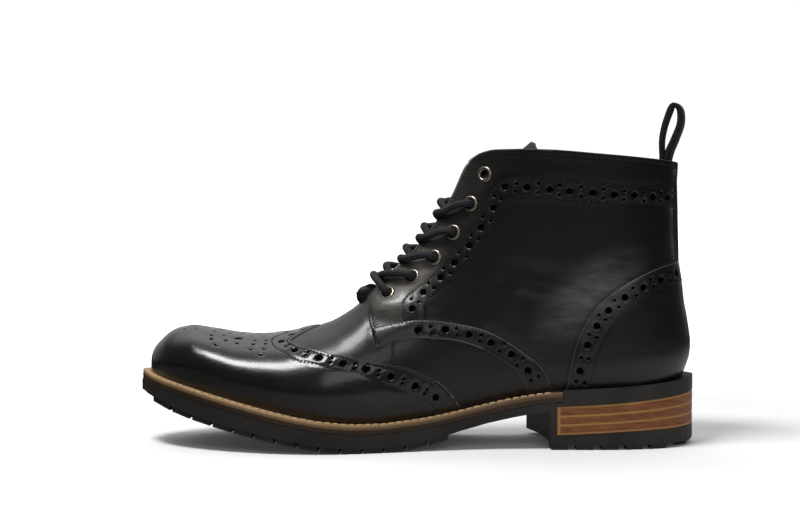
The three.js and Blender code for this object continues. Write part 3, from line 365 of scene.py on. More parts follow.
def nearest(points, others):
    # the distance from every point to the closest of the others
    best = np.full(len(points), np.inf)
    for part in np.array_split(np.arange(len(points)), max(1, len(points) * len(others) // pairsAtOnce)):
        gap = points[part, None, :] - others[None, :, :]
        best[part] = np.sqrt((gap ** 2).sum(axis=2).min(axis=1))
    return best


creases = []  # soft troughs and ridges: depth in mm, width in mm, points on the skin


def relief(p):
    # sum of bell-shaped troughs round each drawn line, each exp(-(distance / width) squared) deep
    sink = np.zeros(len(p))
    for depth, width, line in creases:
        near = np.all((p > line.min(axis=0) - 3 * width) & (p < line.max(axis=0) + 3 * width), axis=1)
        if near.any():
            gap = nearest(p[near], line)
            sink[near] -= depth * np.exp(-(gap / width) ** 2)
    return sink


def sectionOn(rays, uv):
    # skin point and outward direction for every flat place, creases included
    p = onSkin(rays, uv)
    n = outward(p)
    return p + n * relief(p)[:, None], n


# How an edge and a groove are let down, and how the flat pattern is filled: rows of equal triangles, kept clear of
# every drawn line by a share of their spacing
cutting = dict(lip=0.5, drop=0.32, holeLip=0.55, grooveDeep=0.2, grooveHalf=0.7, crossing=0.1, rowStep=0.866,
               clear=0.55)


def panel(name, rays, back, outline, material, nodes=(), holes=(), grooves=(), spacing=2.0, top=0.0,
          bottom=-1.1, lip=cutting["lip"], paintedEdgeLight=False):
    # a cut piece of leather: its flat pattern is filled with triangles round the punched holes, then laid on the
    # last; the top skin lies at one height, its cut edges are let down a little, and walls join it to the underside
    turn = np.sum(outline[:, 0] * np.roll(outline[:, 1], -1) - outline[:, 1] * np.roll(outline[:, 0], -1))
    outline = outline if turn > 0 else outline[::-1]
    loops, lines, cuts = [(outline, cutting["drop"]), (shifted(outline, lip, True), 0.0)], [], []
    for centre, radius, sides in holes:
        ring = holeRing(centre, radius, sides)
        cuts.append(back(ring))
        loops.append((cuts[-1], cutting["drop"]))
        loops.append((back(holeRing(centre, np.asarray(radius) + cutting["holeLip"], sides)), 0.0))
    for line in grooves:
        lines.append((line, cutting["grooveDeep"]))
        lines += [(shifted(line, cutting["grooveHalf"]), 0.0), (shifted(line, -cutting["grooveHalf"]), 0.0)]
    points, edges, sink, count = [], [], [], 0
    closedTo = sum(len(loop) for loop, _ in loops)  # the grooves that come after stay open lines
    for loop, low in loops + lines:
        index = np.arange(len(loop)) + count
        pairs = np.column_stack([index, np.roll(index, -1)])
        edges.append(pairs if count < closedTo else pairs[:-1])
        points.append(loop)
        sink.append(np.full(len(loop), low))
        count += len(loop)
    fixed = np.concatenate(points)
    low, high = outline.min(axis=0), outline.max(axis=0)
    across, up = np.meshgrid(np.arange(low[0], high[0], spacing),
                             np.arange(low[1], high[1], spacing * cutting["rowStep"]))
    across = across + (np.arange(len(across)) % 2)[:, None] * spacing / 2
    fill = np.column_stack([across.ravel(), up.ravel()])
    fill = fill[insideLoops(fill, [outline] + cuts)]
    fill = fill[nearest(fill, fixed) > spacing * cutting["clear"]]
    every = np.concatenate([fixed, fill])
    sink = np.concatenate(sink + [np.zeros(len(fill))])
    cut = delaunay_2d_cdt(every.tolist(), np.concatenate(edges).tolist(), [], 0, 1e-5, True)
    flat, _, faces, origin = cut[:4]
    flat = np.array([tuple(v) for v in flat])
    sink = np.array([sink[o[0]] if len(o) else cutting["crossing"] for o in origin])
    faces = np.array(faces)
    faces = faces[insideLoops(flat[faces].mean(axis=1), [outline] + cuts)]
    used, faces = np.unique(faces, return_inverse=True)
    faces = faces.reshape(-1, 3)
    flat, sink = flat[used], sink[used]
    p, n = sectionOn(rays, flat)
    upper, under = p + n * (top - sink)[:, None], p + n * bottom
    corner = upper[faces]
    facing = np.sum(np.cross(corner[:, 1] - corner[:, 0], corner[:, 2] - corner[:, 0]) * n[faces[:, 0]], axis=1)
    if np.median(facing) < 0:
        faces = faces[:, ::-1]
    sides = np.concatenate([faces[:, [0, 1]], faces[:, [1, 2]], faces[:, [2, 0]]])
    code = sides[:, 0] * len(flat) + sides[:, 1]
    rim = sides[~np.isin(code, sides[:, 1] * len(flat) + sides[:, 0])]
    m = len(flat)
    walls = np.column_stack([rim[:, 1], rim[:, 0], rim[:, 0] + m, rim[:, 1] + m])
    # the cut edge is marked so that the leather material paints a pale highlight on it
    level = np.tile(nearest(flat, outline) < 1e-3, 2).astype(float) if paintedEdgeLight else None
    faceSets = [faces, faces[:, ::-1] + m, walls]
    addPiece(name, np.vstack([upper, under]), faceSets, material, nodes, value=level)


def holeRing(centre, radius, sides):
    # a circle of the punch laid on the skin round its centre; radius may be two half sizes
    wide, long = (radius, radius) if np.isscalar(radius) else radius
    n = outward(centre[None])[0]
    along = unit(np.cross(n, [0, 0, 1.0]))
    up = np.cross(along, n)
    turn = np.linspace(0, 2 * math.pi, sides, endpoint=False)[:, None]
    return centre + np.cos(turn) * along * wide + np.sin(turn) * up * long


def circle(side, up, sides):
    # corners round a circle for every pair of directions: cos(turn) side + sin(turn) up
    turn = np.linspace(0, 2 * math.pi, sides, endpoint=False)[None, :, None]
    return np.cos(turn) * side[:, None] + np.sin(turn) * up[:, None]


def bands(first, sides):
    # the four-cornered faces between each ring of corners and the next, from each ring's first corner
    a = np.arange(sides)
    b = (a + 1) % sides
    return np.stack([first + a, first + b, first + sides + b, first + sides + a], axis=-1).reshape(-1, 4)


def stitchesAlong(line, pitch):
    # the middle of every stitch in a row, and the direction that it lies in
    even = evenly(line, pitch / 2)
    return even[1:-1:2], unit(even[2::2] - even[:-2:2])


def beads(places, along, n, stitch):
    # every stitch is a short bead of thread: rings along it swell in the middle and dip at both ends
    at, radii, dip = (np.array(stitch[key])[:, None, None] for key in ("ends", "radii", "dip"))
    rings, sides = len(at), stitch["sides"]
    body = places[:, None, None] + along[:, None, None] * at - n[:, None, None] * dip
    body = body + circle(unit(np.cross(along, n)), n, sides)[:, None] * radii
    first, a = np.arange(len(places))[:, None] * rings * sides, np.arange(sides)
    quads = bands(first[:, None] + np.arange(rings - 1)[:, None] * sides, sides)
    return body.reshape(-1, 3), [quads, first + a[::-1], first + (rings - 1) * sides + a]


def hexColour(code):
    # sRGB hex to the linear values that Blender mixes
    parts = [int(code[i:i + 2], 16) / 255 for i in (1, 3, 5)]
    return tuple(v / 12.92 if v <= 0.04045 else ((v + 0.055) / 1.055) ** 2.4 for v in parts) + (1.0,)


def node(tree, kind, links=None, **settings):
    # adds one node: settings go by socket name or property, and stops fill the two ends of a colour ramp; links
    # gives a socket another node's output, or the plain value that it holds
    item = tree.nodes.new(kind)
    for key, value in settings.items():
        if key == "stops":
            for point, (at, colour) in zip(item.color_ramp.elements, value):
                point.position = at
                point.color = hexColour(colour) if isinstance(colour, str) else (colour, colour, colour, 1)
        elif key in item.inputs:
            item.inputs[key].default_value = value
        else:
            setattr(item, key, value)
    for key, source in (links or {}).items():
        if isinstance(source, bpy.types.NodeSocket):
            tree.links.new(source, item.inputs[key])
        else:
            item.inputs[key].default_value = source
    return item


def newMaterial(name, colour, roughness, **extra):
    # one colour and one roughness on the shader's own sockets, before any pattern is added
    material = bpy.data.materials.new(name)
    material.use_nodes = True
    tree = material.node_tree
    shader = tree.nodes["Principled BSDF"]
    shader.inputs["Base Color"].default_value = hexColour(colour)
    shader.inputs["Roughness"].default_value = roughness
    for key, value in extra.items():
        shader.inputs[key].default_value = value
    return material, tree, shader


def dressed(tree, shader, colour, height, strength, depth):
    # the worked surface: a pattern's colour, and its relief as a bump of a real depth in metres
    bump = node(tree, "ShaderNodeBump", {"Height": height}, Strength=strength, Distance=depth)
    tree.links.new(colour, shader.inputs["Base Color"])
    tree.links.new(bump.outputs["Normal"], shader.inputs["Normal"])


# Box calf, aniline dyed and polished: a tight pore pattern of 0.8 mm under a thin glaze that softens on the shaft
# edge is a painted highlight for the cut edges of the panels
calf = dict(colour="#0b0a0a", worn="#151312", edge="#6d6962", glaze=0.16, pore=0.8, wrinkle=(16.0, 5.0), cloud=45,
            poreDepth=0.00004, foldDepth=0.00055)


def calfLeather(name, rough, coat, tint=None, paintedHighlights=()):
    # dye in slow clouds, painted highlights where the leather swells toward the light, a cut edge painted pale as a
    # highlight, fine pores and soft folds that lie flat
    material, tree, shader = newMaterial(name, calf["colour"], rough, IOR=1.5,
                                         **{"Coat Weight": coat, "Coat Roughness": calf["glaze"]})
    place = node(tree, "ShaderNodeTexCoord").outputs["Object"]
    pores = node(tree, "ShaderNodeTexVoronoi", {"Vector": place}, Scale=1000 / calf["pore"])
    long, short = calf["wrinkle"]
    lying = node(tree, "ShaderNodeMapping", {"Vector": place}, Scale=(1000 / long, 1000 / long, 1000 / short))
    folds = node(tree, "ShaderNodeTexNoise", {"Vector": lying.outputs["Vector"]}, Scale=1.0, Detail=4.0,
                 Roughness=0.55).outputs["Fac"]
    cloud = node(tree, "ShaderNodeTexNoise", {"Vector": place}, Scale=1000 / calf["cloud"], Detail=2.0).outputs["Fac"]
    shade = node(tree, "ShaderNodeValToRGB", {"Fac": cloud},
                 stops=[(0.35, calf["colour"]), (0.75, tint or calf["worn"])]).outputs["Color"]
    for highlight in paintedHighlights:  # a painted highlight: a soft ball of paler leather, broken up by its own folds
        ball = node(tree, "ShaderNodeMapping", {"Vector": place}, vector_type="TEXTURE", Location=highlight["place"],
                    Rotation=(0, -math.radians(highlight["turn"]), 0), Scale=highlight["size"])
        far = node(tree, "ShaderNodeVectorMath", {0: ball.outputs["Vector"]}, operation="LENGTH")
        near = node(tree, "ShaderNodeMapRange", {"Value": far.outputs["Value"]}, interpolation_type="SMOOTHSTEP",
                    **{"From Min": 0.0, "From Max": 1.5, "To Min": 1.0, "To Max": 0.0})
        broken = node(tree, "ShaderNodeValToRGB", {"Fac": folds}, stops=[(0.3, 0.25), (0.7, 1.0)])
        share = node(tree, "ShaderNodeMath", {0: near.outputs["Result"], 1: broken.outputs["Color"]},
                     operation="MULTIPLY").outputs[0]
        shade = node(tree, "ShaderNodeMix", {0: share, 6: shade, 7: hexColour(highlight["colour"])},
                     data_type="RGBA").outputs[2]
    level = node(tree, "ShaderNodeAttribute", attribute_name="level").outputs["Fac"]  # 1 on a panel's cut edge
    # painted highlight: the cut edge is painted pale grey where it would catch the light
    edgeLightShare = node(tree, "ShaderNodeValToRGB", {"Fac": level}, stops=[(0.3, 0.0), (0.8, 1.0)]).outputs["Color"]
    shade = node(tree, "ShaderNodeMix", {0: edgeLightShare, 6: shade, 7: hexColour(calf["edge"])}, data_type="RGBA").outputs[2]
    tree.links.new(shade, shader.inputs["Base Color"])
    gloss = node(tree, "ShaderNodeMapRange", {"Value": folds}, **{"To Min": rough - 0.05, "To Max": rough + 0.09})
    tree.links.new(gloss.outputs["Result"], shader.inputs["Roughness"])
    fine = node(tree, "ShaderNodeBump", {"Height": pores.outputs["Distance"]}, Strength=0.22,
                Distance=calf["poreDepth"])
    soft = node(tree, "ShaderNodeBump", {"Height": folds, "Normal": fine.outputs["Normal"]}, Strength=0.35,
                Distance=calf["foldDepth"])
    tree.links.new(soft.outputs["Normal"], shader.inputs["Normal"])
    return material


def fibresOf(tree, stretch, perMetre, **finer):
    # leather cut across: noise drawn out by the stretch, so its fibres run on along the sole
    place = node(tree, "ShaderNodeTexCoord").outputs["Object"]
    long = node(tree, "ShaderNodeMapping", {"Vector": place}, Scale=stretch)
    fibre = node(tree, "ShaderNodeTexNoise", {"Vector": long.outputs["Vector"]}, Scale=perMetre, **finer)
    return place, fibre.outputs["Fac"]


def stainedLeather(name, colour, dark, rough):
    # vegetable tanned edge leather, stained and waxed: short dark fibres along the sole
    material, tree, shader = newMaterial(name, colour, rough)
    _, fibre = fibresOf(tree, (0.25, 0.25, 1.6), 1000 / 1.2, Detail=5.0, Roughness=0.65)
    shade = node(tree, "ShaderNodeValToRGB", {"Fac": fibre}, stops=[(0.3, dark), (0.62, colour)])
    dressed(tree, shader, shade.outputs["Color"], fibre, 0.35, 0.0002)
    return material


def weltEdge(name, top, edge, waistShade):
    # natural welt leather, pale on its top face, with painted shade: its side face is painted darker than its top, and
    # it is painted darker toward the waist
    material, tree, shader = newMaterial(name, top, 0.5)
    place, fibre = fibresOf(tree, (0.25, 0.25, 1.6), 900.0, Detail=5.0, Roughness=0.65)
    level = node(tree, "ShaderNodeAttribute", attribute_name="level").outputs["Fac"]  # 1 on the top face
    # painted shade: the side face is painted darker than the top face
    face = node(tree, "ShaderNodeValToRGB", {"Fac": level}, stops=[(0.0, edge), (1.0, top)]).outputs["Color"]
    split = node(tree, "ShaderNodeSeparateXYZ", {"Vector": place})
    # painted shade: darker toward the waist
    back = node(tree, "ShaderNodeMapRange", {"Value": split.outputs["X"]},
                **{"From Min": -0.17, "From Max": -0.06, "To Max": 0.8})
    waistShadeMix = node(tree, "ShaderNodeMix", {0: back.outputs["Result"], 6: face, 7: hexColour(waistShade)}, data_type="RGBA")
    grain = node(tree, "ShaderNodeValToRGB", {"Fac": fibre}, stops=[(0.3, 0.72), (0.62, 1.0)])
    shade = node(tree, "ShaderNodeMix", {0: 1.0, 6: waistShadeMix.outputs[2], 7: grain.outputs["Color"]}, data_type="RGBA",
                 blend_type="MULTIPLY")
    dressed(tree, shader, shade.outputs[2], fibre, 0.35, 0.0002)
    return material


def stackLeather(name, brown, dark, line):
    # lifts of stacked sole leather, sanded flush and waxed: the glued joints show as paler lines at even levels,
    # and a pale strip closes the front end
    material, tree, shader = newMaterial(name, brown, 0.5)
    place, fibre = fibresOf(tree, (0.12, 0.12, 1.0), 1000 / 0.9, Detail=4.0)
    wood = node(tree, "ShaderNodeValToRGB", {"Fac": fibre}, stops=[(0.25, dark), (0.7, brown)])
    level = node(tree, "ShaderNodeAttribute", attribute_name="level").outputs["Fac"]  # 0 at the floor, 1 at the top
    thirds = node(tree, "ShaderNodeMath", {0: level, 1: 3.2, 2: -0.1}, operation="MULTIPLY_ADD")
    saw = node(tree, "ShaderNodeMath", {0: thirds.outputs[0], 1: 0.5}, operation="PINGPONG")
    joint = node(tree, "ShaderNodeValToRGB", {"Fac": saw.outputs[0]}, stops=[(0.07, 1.0), (0.15, 0.0)])
    split = node(tree, "ShaderNodeSeparateXYZ", {"Vector": place})
    front = node(tree, "ShaderNodeMapRange", {"Value": split.outputs["X"]},
                 **{"From Min": -0.0405, "From Max": -0.0399, "To Min": 1.0, "To Max": 0.0})
    either = node(tree, "ShaderNodeMath", {0: joint.outputs["Color"], 1: front.outputs["Result"]}, operation="MAXIMUM")
    pale = node(tree, "ShaderNodeMix", {0: either.outputs[0], 6: wood.outputs["Color"], 7: hexColour(line)},
                data_type="RGBA")
    dressed(tree, shader, pale.outputs[2], fibre, 0.3, 0.0002)
    return material


def mouldedRubber(name, colour, dusty, rough):
    # carbon black rubber from a steel mould: even, slightly greyed by handling
    material, tree, shader = newMaterial(name, colour, rough, **{"Specular IOR Level": 0.35})
    place = node(tree, "ShaderNodeTexCoord").outputs["Object"]
    skin = node(tree, "ShaderNodeTexNoise", {"Vector": place}, Scale=1000 / 1.5, Detail=3.0)
    dust = node(tree, "ShaderNodeTexNoise", {"Vector": place}, Scale=1000 / 30, Detail=3.0)
    shade = node(tree, "ShaderNodeValToRGB", {"Fac": dust.outputs["Fac"]}, stops=[(0.35, colour), (0.7, dusty)])
    dressed(tree, shader, shade.outputs["Color"], skin.outputs["Fac"], 0.3, 0.00015)
    return material


def platedEyelet(name, plate, inside):
    # nickel plated brass, its barrel painted dark as shade: the level value is 1 on the flange
    material, tree, shader = newMaterial(name, plate, 0.3, Metallic=1.0)
    level = node(tree, "ShaderNodeAttribute", attribute_name="level").outputs["Fac"]
    shade = node(tree, "ShaderNodeValToRGB", {"Fac": level}, stops=[(0.0, inside), (1.0, plate)])
    tree.links.new(shade.outputs["Color"], shader.inputs["Base Color"])
    return material


def wovenCord(name, colour, light, rough, around, pitch):
    # braid: two sets of strands cross on the slant, so a cell is the product of two waves along the piece's own map;
    # the crests are painted lighter and the hollows darker, as painted highlight and shade
    material, tree, shader = newMaterial(name, colour, rough, **{"Sheen Weight": 0.08, "Sheen Roughness": 0.4})
    place = node(tree, "ShaderNodeUVMap", uv_map="along").outputs["UV"]
    split = node(tree, "ShaderNodeSeparateXYZ", {"Vector": place})
    waves = []
    for sign in (1, -1):
        turn = node(tree, "ShaderNodeMath", {0: split.outputs["X"], 1: sign * around * math.pi}, operation="MULTIPLY")
        run = node(tree, "ShaderNodeMath", {0: split.outputs["Y"], 1: 2 * math.pi / pitch}, operation="MULTIPLY")
        both = node(tree, "ShaderNodeMath", {0: turn.outputs[0], 1: run.outputs[0]}, operation="ADD")
        waves.append(node(tree, "ShaderNodeMath", {0: both.outputs[0]}, operation="SINE").outputs[0])
    cell = node(tree, "ShaderNodeMath", {0: waves[0], 1: waves[1]}, operation="MULTIPLY")
    high = node(tree, "ShaderNodeMapRange", {"Value": cell.outputs[0]}, **{"From Min": -1.0, "From Max": 1.0})
    # painted highlight on the strands' crests, painted shade in the hollows between them
    shade = node(tree, "ShaderNodeValToRGB", {"Fac": high.outputs["Result"]}, stops=[(0.25, colour), (0.85, light)])
    dressed(tree, shader, shade.outputs["Color"], high.outputs["Result"], 0.6, 0.00025)
    return material


# painted highlights where the leather swells toward the light: places in metres; the turn in degrees lays each patch
# along its fold or facing
ankleHighlight = dict(place=(-0.024, -0.032, 0.083), turn=38, size=(0.03, 0.014, 0.015), colour="#767370")
facingHighlight = dict(place=(-0.112, -0.022, 0.112), turn=55, size=(0.05, 0.02, 0.015), colour="#4a4743")
eyeletHighlight = dict(place=(-0.1235, -0.026, 0.0905), turn=55, size=(0.025, 0.02, 0.011), colour="#a5a19b")
calfToe = calfLeather("polishedCalfToe", 0.26, 0.5)
calfBody = calfLeather("glazedCalf", 0.34, 0.22, paintedHighlights=(ankleHighlight, facingHighlight, eyeletHighlight))
calfTongue = calfLeather("softCalfTongue", 0.55, 0.0)
liningLeather = calfLeather("liningSheepskin", 0.7, 0.0, "#1d1a18")
# the side face and waist colours are painted shade
weltTan = weltEdge("weltLeather", "#bf9c6f", "#6b5038", "#654a33")
midBrown = stainedLeather("stainedMidsole", "#4a3828", "#33271c", 0.55)
stackBrown = stackLeather("waxedLiftLeather", "#a8683d", "#6f3f23", "#c08c4b")
rubber = mouldedRubber("mouldedRubber", "#2c2b29", "#3e3c39", 0.6)
# the barrel's near black is painted shade inside the eyelet
nickel = platedEyelet("gunmetalNickel", "#aaa294", "#0b0a0a")
lace = wovenCord("braidedCotton", "#12131a", "#33343f", 0.75, 8, 0.0022)  # strands 2.2 mm apart, drawn coarser to show
tape = wovenCord("wovenTape", "#0d0c0b", "#2a2825", 0.8, 9, 0.0019)
blackThread = newMaterial("waxedBlackThread", "#131211", 0.42)[0]  # waxed: a small soft glint on each stitch
tanThread = newMaterial("waxedTanThread", "#d9b887", 0.6)[0]
holeShade = newMaterial("flatBlackHoleShade", "#030303", 1.0, **{"Specular IOR Level": 0.1})[0]  # dead flat black: painted shade at the bottom of the punched holes
print("materials ready")


# Pattern lines, all drawn for the outer side and turned over for the inner side
wing = dict(
    edge=[(-171.5, -0.6, 65.6), (-174.6, -4.6, 64.3), (-178, -9, 63), (-183, -16, 61), (-186.2, -20.4, 59.2),
          (-186.8, -22.6, 58.4), (-184.6, -26, 57.5), (-179.6, -31, 56), (-173, -35, 55), (-164.7, -38, 53),
          (-156.7, -39.5, 52), (-148.4, -40.5, 50), (-136, -39.6, 47), (-129, -38.6, 46), (-122.4, -37.5, 45),
          (-115.7, -36, 42), (-109, -35, 39), (-102.5, -34, 34), (-97.8, -32.7, 28.7), (-94.4, -31, 23.4)],
    inner=[(-188, -0.6, 61), (-190, -5, 60.7), (-194, -10, 59.8), (-196.4, -15, 58.8), (-196.6, -20, 58),
               (-194.4, -27.4, 55.4), (-187.5, -34.4, 52.4), (-179, -39.7, 49), (-171, -42, 47.4),
               (-164.6, -43.4, 46), (-155, -43, 44.8), (-144, -42.7, 40.7), (-136.6, -41, 37), (-126.7, -39, 34),
               (-118, -36.7, 29), (-111, -34.7, 25.4), (-107.5, -33, 21.5)],
    large=[(-191.4, -21.5, 58), (-183.6, -32.5, 54.2), (-170.2, -39.7, 50.9), (-157.2, -42, 47.9),
               (-144.7, -41.8, 44.9), (-131.6, -39.8, 40.7), (-118.4, -36.9, 35.2), (-107.4, -34.5, 28.6)],
    peakLarge=[(-189, -0.6, 61), (-180.3, -5.2, 63.3), (-186.6, -12.4, 60.9)],
    holeRadius=1.9, pinRadius=0.85, pinOffset=2.6, seamIn=1.5)
medallion = dict(  # punched star on the toe, seen from above: x and distance from the middle
    big=[(-215.2, 17.2, 2.6, 1.7), (-243, 0, 1.9, 2.6), (-199.5, 0, 1.9, 2.6)],
    pins=[(-230, 18), (-229.5, 23), (-226.5, 28.6), (-229, 9), (-226, 2), (-223.4, 15), (-221.6, 22.6), (-220.7, 7.6),
          (-215.4, 25), (-214, 4), (-208.5, 10.7), (-206, 19.7), (-206.6, 25.6), (-207.5, 31), (-204.8, 2.5),
          (-202, 11), (-200, 20.5), (-199.8, 25.7), (-200.3, 31.2), (-201.8, 36), (-252, 2.4), (-246, 8.7),
          (-239, 8.3), (-234.6, 0)],
    pinRadius=1.0, middle=3.0)
quarter = dict(
    front=[(-139.8, 55.8), (-142.8, 66.7), (-144.2, 71.7), (-145.1, 77.6)],
    throat=[(-145.7, -9.5), (-145.4, -6.6), (-143.6, -5.6), (-140, -7), (-133.4, -9.6), (-127.5, -12), (-121, -14),
            (-112, -14.4), (-98, -14.2), (-94.5, -13.5), (-91.5, -13.3), (-88.8, -14.9), (-86.8, -16.9),
            (-84.8, -18.9), (-82.9, -20.5), (-80, -22.9), (-77, -25)],
    collar=[(-73, 162.2), (-60, 162.4), (-46, 161.9), (-36, 161.2), (-20, 159.8), (2.5, 157.9), (16, 156.7),
            (30, 155.5), (heelBack, 154.8)],
    edge=[(-57.6, 30.6), (-58.4, 34), (-62.4, 41), (-68, 46.2), (-77.6, 52.3), (-87.5, 56.6), (-97, 59.2),
          (-106, 60.2), (-115, 60.4), (-123.5, 59.8), (-131.5, 58.5), (-139.8, 55.8)],
    bandTop=[(-142.2, 65.9), (-139.1, 66.8), (-132.8, 68.2), (-124.9, 69.3), (-113.8, 70), (-104.4, 69.4),
             (-94.9, 68), (-85.4, 66), (-75.1, 62), (-67.1, 57.2), (-59.2, 51.6), (-52, 46.1), (-47.6, 39.6),
             (-45.6, 34.3), (-45.2, 31.6)],
    bandLarge=[(-117, 64.9), (-102.4, 65.2), (-89.7, 62.5), (-77.6, 58), (-66.6, 51.6), (-57.6, 42.9)],
    bandPins=[(-110.3, 66.7), (-109.5, 63.2), (-96.3, 65.6), (-96.1, 62.1), (-83, 62.1), (-83.8, 59), (-70.7, 57.4),
              (-73, 53.6), (-60.6, 49.4), (-63.6, 45.6), (-52, 39.8), (-56, 37.4)],
    stayFront=[(-125.2, 70.4), (-124.9, 75), (-124.8, 78.9), (-122.8, 82.3), (-118.7, 86.1), (-112.8, 90.6),
               (-108.3, 94.4), (-105.2, 98.2), (-99.2, 105), (-92.2, 114.2), (-85.4, 126.7), (-79.4, 136.2),
               (-75.2, 141.4), (-73.5, 144.4), (-68.4, 146.1), (-60.8, 146.6), (-52.4, 146.5), (-40.4, 145.5),
               (-28.5, 144.2), (-14.8, 142.9), (-2.2, 142.1), (12.2, 141.5), (25.7, 140.9), (36.4, 140.6)],
    stayRear=[(-114.1, 71), (-113.9, 76.4), (-112.9, 79.8), (-108.4, 83.9), (-100.8, 89.4), (-96, 94.2),
              (-91.2, 99.1), (-86, 105.8), (-79.4, 116.5), (-75.6, 124.2), (-71.8, 132.1), (-69.3, 134.6),
              (-65, 136.3), (-59.1, 137), (-50.6, 136.5), (-40.3, 135.2), (-28.4, 134.4), (-16.4, 133.6), (-2, 132.7),
              (20.7, 131.6), (36.4, 131.2)],
    stayLarge=[(-120.1, 76), (-114.2, 85.2), (-104.9, 93.1), (-97.4, 101), (-89.5, 110.4), (-83.3, 120),
               (-76.6, 130.7), (-70.5, 142), (-58.7, 141.7), (-46.4, 140.5), (-35.9, 139.6), (-23.3, 138.8),
               (-11.7, 137.8), (0.1, 137.4), (12.5, 136.5), (25, 136)],
    stayPins=[(-120.4, 81), (-116.6, 79.6), (-111.5, 89.9), (-108.7, 87.3), (-103.3, 98), (-99.8, 95.4),
              (-95.3, 106.5), (-91.2, 104.2), (-88.5, 115.6), (-84.6, 113.9), (-82.2, 125.6), (-78.2, 123.8),
              (-76.2, 137), (-72.6, 135.4), (-64.4, 143.6), (-64.8, 139.5), (-52.6, 143.8), (-52.8, 138.9),
              (-41.2, 142.8), (-41.4, 137.6), (-29.7, 142), (-29.7, 136.9), (-17.6, 140.8), (-17.8, 136), (-6, 139.8),
              (-6.4, 135.2), (6, 139), (6.2, 134.5), (18.6, 138.6), (18.8, 133.9), (31, 138.2), (31, 133.6)],
    holeRadius=1.9, pinRadius=0.92)
counter = dict(
    edge=[(-36.6, 32.6), (-36, 35), (-33.7, 47.5), (-31.8, 55.8), (-29.1, 63.2), (-25.4, 69.7), (-20.9, 76.5),
          (-15.8, 81.6), (-9.7, 86.4), (-1.6, 90.9), (7.6, 94.9), (20.5, 98.7), (33, 100.2), (heelBack, 100.6)],
    inner=[(-24.9, 33.6), (-24.6, 35.3), (-22.8, 43.3), (-21.5, 51.3), (-18.3, 58.3), (-14.6, 65.4), (-9.8, 71.3),
               (-2.7, 77.5), (4.6, 81.4), (16.6, 87), (30, 89.6), (heelBack, 90.2)],
    large=[(-29.6, 42.6), (-25.6, 56.7), (-20.6, 67), (-14.4, 75.4), (-5.3, 82.5), (6.1, 87.7), (17.7, 91.5),
               (30.8, 94.4), (heelBack, 95.4)],
    pins=[(-29, 49.9), (-25.2, 49.5), (-24.8, 62.6), (-20.9, 60.9), (-19.6, 73), (-16, 70.5), (-11.3, 80.9),
              (-8.8, 77.4), (-0.4, 87.5), (1.8, 83.6), (10.8, 92), (12.8, 88.2), (24, 95.2), (24.8, 91), (37.8, 97.4),
              (38, 92.6), (-31.6, 37), (-27, 36)],
    holeRadius=2.0, pinRadius=0.92)


def beside(line, distance):
    # a line on the skin that runs beside another: stepped sideways, then brought back to the skin twice
    along = unit(np.gradient(line, axis=0))
    q = line + np.cross(outward(line), along) * distance
    for _ in range(3):
        slope = np.stack([form(q + e) - form(q - e) for e in np.eye(3) * 0.2], axis=-1) / 0.4
        q = q - slope * (form(q) / np.maximum((slope ** 2).sum(axis=1), 1e-6))[:, None]
    return q


def punched(centres, radius, sides):
    # one hole for each place
    return [(centre, radius, sides) for centre in centres]


def across(points):
    # the other side's copy of places on the outer side
    return np.asarray(points, float) * [1, -1, 1]


def skinned(points):
    # places given near the skin of the front, brought onto it along its own rays
    return onSkin(capRays, toCap(np.asarray(points, float)))


eyelets = dict(angle=[38, 42, 45.9, 50.1, 54.6, 59], half=[20.7, 21.6, 22.8, 23.4, 24.1, 25.1], hole=2.75)
boot = {}  # every drawn line and place of each side, by name
for label, side in (("Outer", -1), ("Inner", 1)):
    lines = {key: sideLine(quarter[key], 1.2, side)
             for key in ("front", "collar", "edge", "bandTop", "stayFront", "stayRear")}
    lines["throat"] = planLine(np.array(quarter["throat"]) * [1, -side], 1.2)
    for key, drawn in (("counterEdge", counter["edge"]), ("counterInner", counter["inner"])):
        lines[key] = sideLine(drawn[:-1] + [(heelBack - 0.3, drawn[-1][1])], 1.2, side)
    turned = (lambda p: np.asarray(p, float)) if side < 0 else across
    lines["wingEdge"] = skinned(turned(through(wing["edge"], 1.2)))
    lines["wingInner"] = skinned(turned(through(wing["inner"], 1.2)))
    for key in ("bandLarge", "bandPins", "stayLarge", "stayPins"):
        lines[key] = sidePoints(quarter[key], side)
    lines["counterLarge"] = sidePoints(counter["large"][:-1], side)
    lines["counterPins"] = sidePoints(counter["pins"], side)
    lines["wingLarge"] = skinned(turned(wing["large"]))
    lines["eyelets"] = fanPoint(eyelets["angle"], side * np.array(eyelets["half"]))
    boot[label] = lines

# Soft form of worn leather: seams pull in, the leather swells between them, and the ankle folds a little
sewn = dict(bandTop=(0.38, 2.4), front=(0.3, 2.2), stayFront=(0.22, 1.8), stayRear=(0.16, 1.8), eyelet=(0.35, 4.6))
worn = [  # depth, width, step between points, and places in the side view; a depth below zero swells outward
    (0.6, 3.4, 1.5, [(-138, 70.3), (-133, 71.2), (-127, 71.6)]),
    (-1.6, 6.0, 1.5, [(-136, 78), (-128, 77.5), (-121, 78)]),
    (0.35, 3.2, 2, [(-52, 92), (-40, 88.5), (-28, 86.5), (-18, 86)]),
    (0.3, 3.0, 2, [(-60, 83), (-46, 79.5), (-34, 77.5)]),
    (0.3, 4.0, 2, [(-70, 101), (-52, 97), (-34, 95), (-18, 95)]),
    (-0.3, 4.0, 2, [(-62, 88), (-46, 84.5), (-32, 82.3)]),
    (0.4, 5.0, 2, [(-104, 72), (-92, 74), (-80, 80), (-72, 90)])]
for lines in boot.values():
    creases += [(*sewn[key], lines[key]) for key in ("bandTop", "front", "stayFront", "stayRear")]
    creases += [(*sewn["eyelet"], place[None]) for place in lines["eyelets"]]
for side in (-1, 1):
    creases += [(depth, width, sideLine(places, step, side)) for depth, width, step, places in worn]
print("lines drawn")

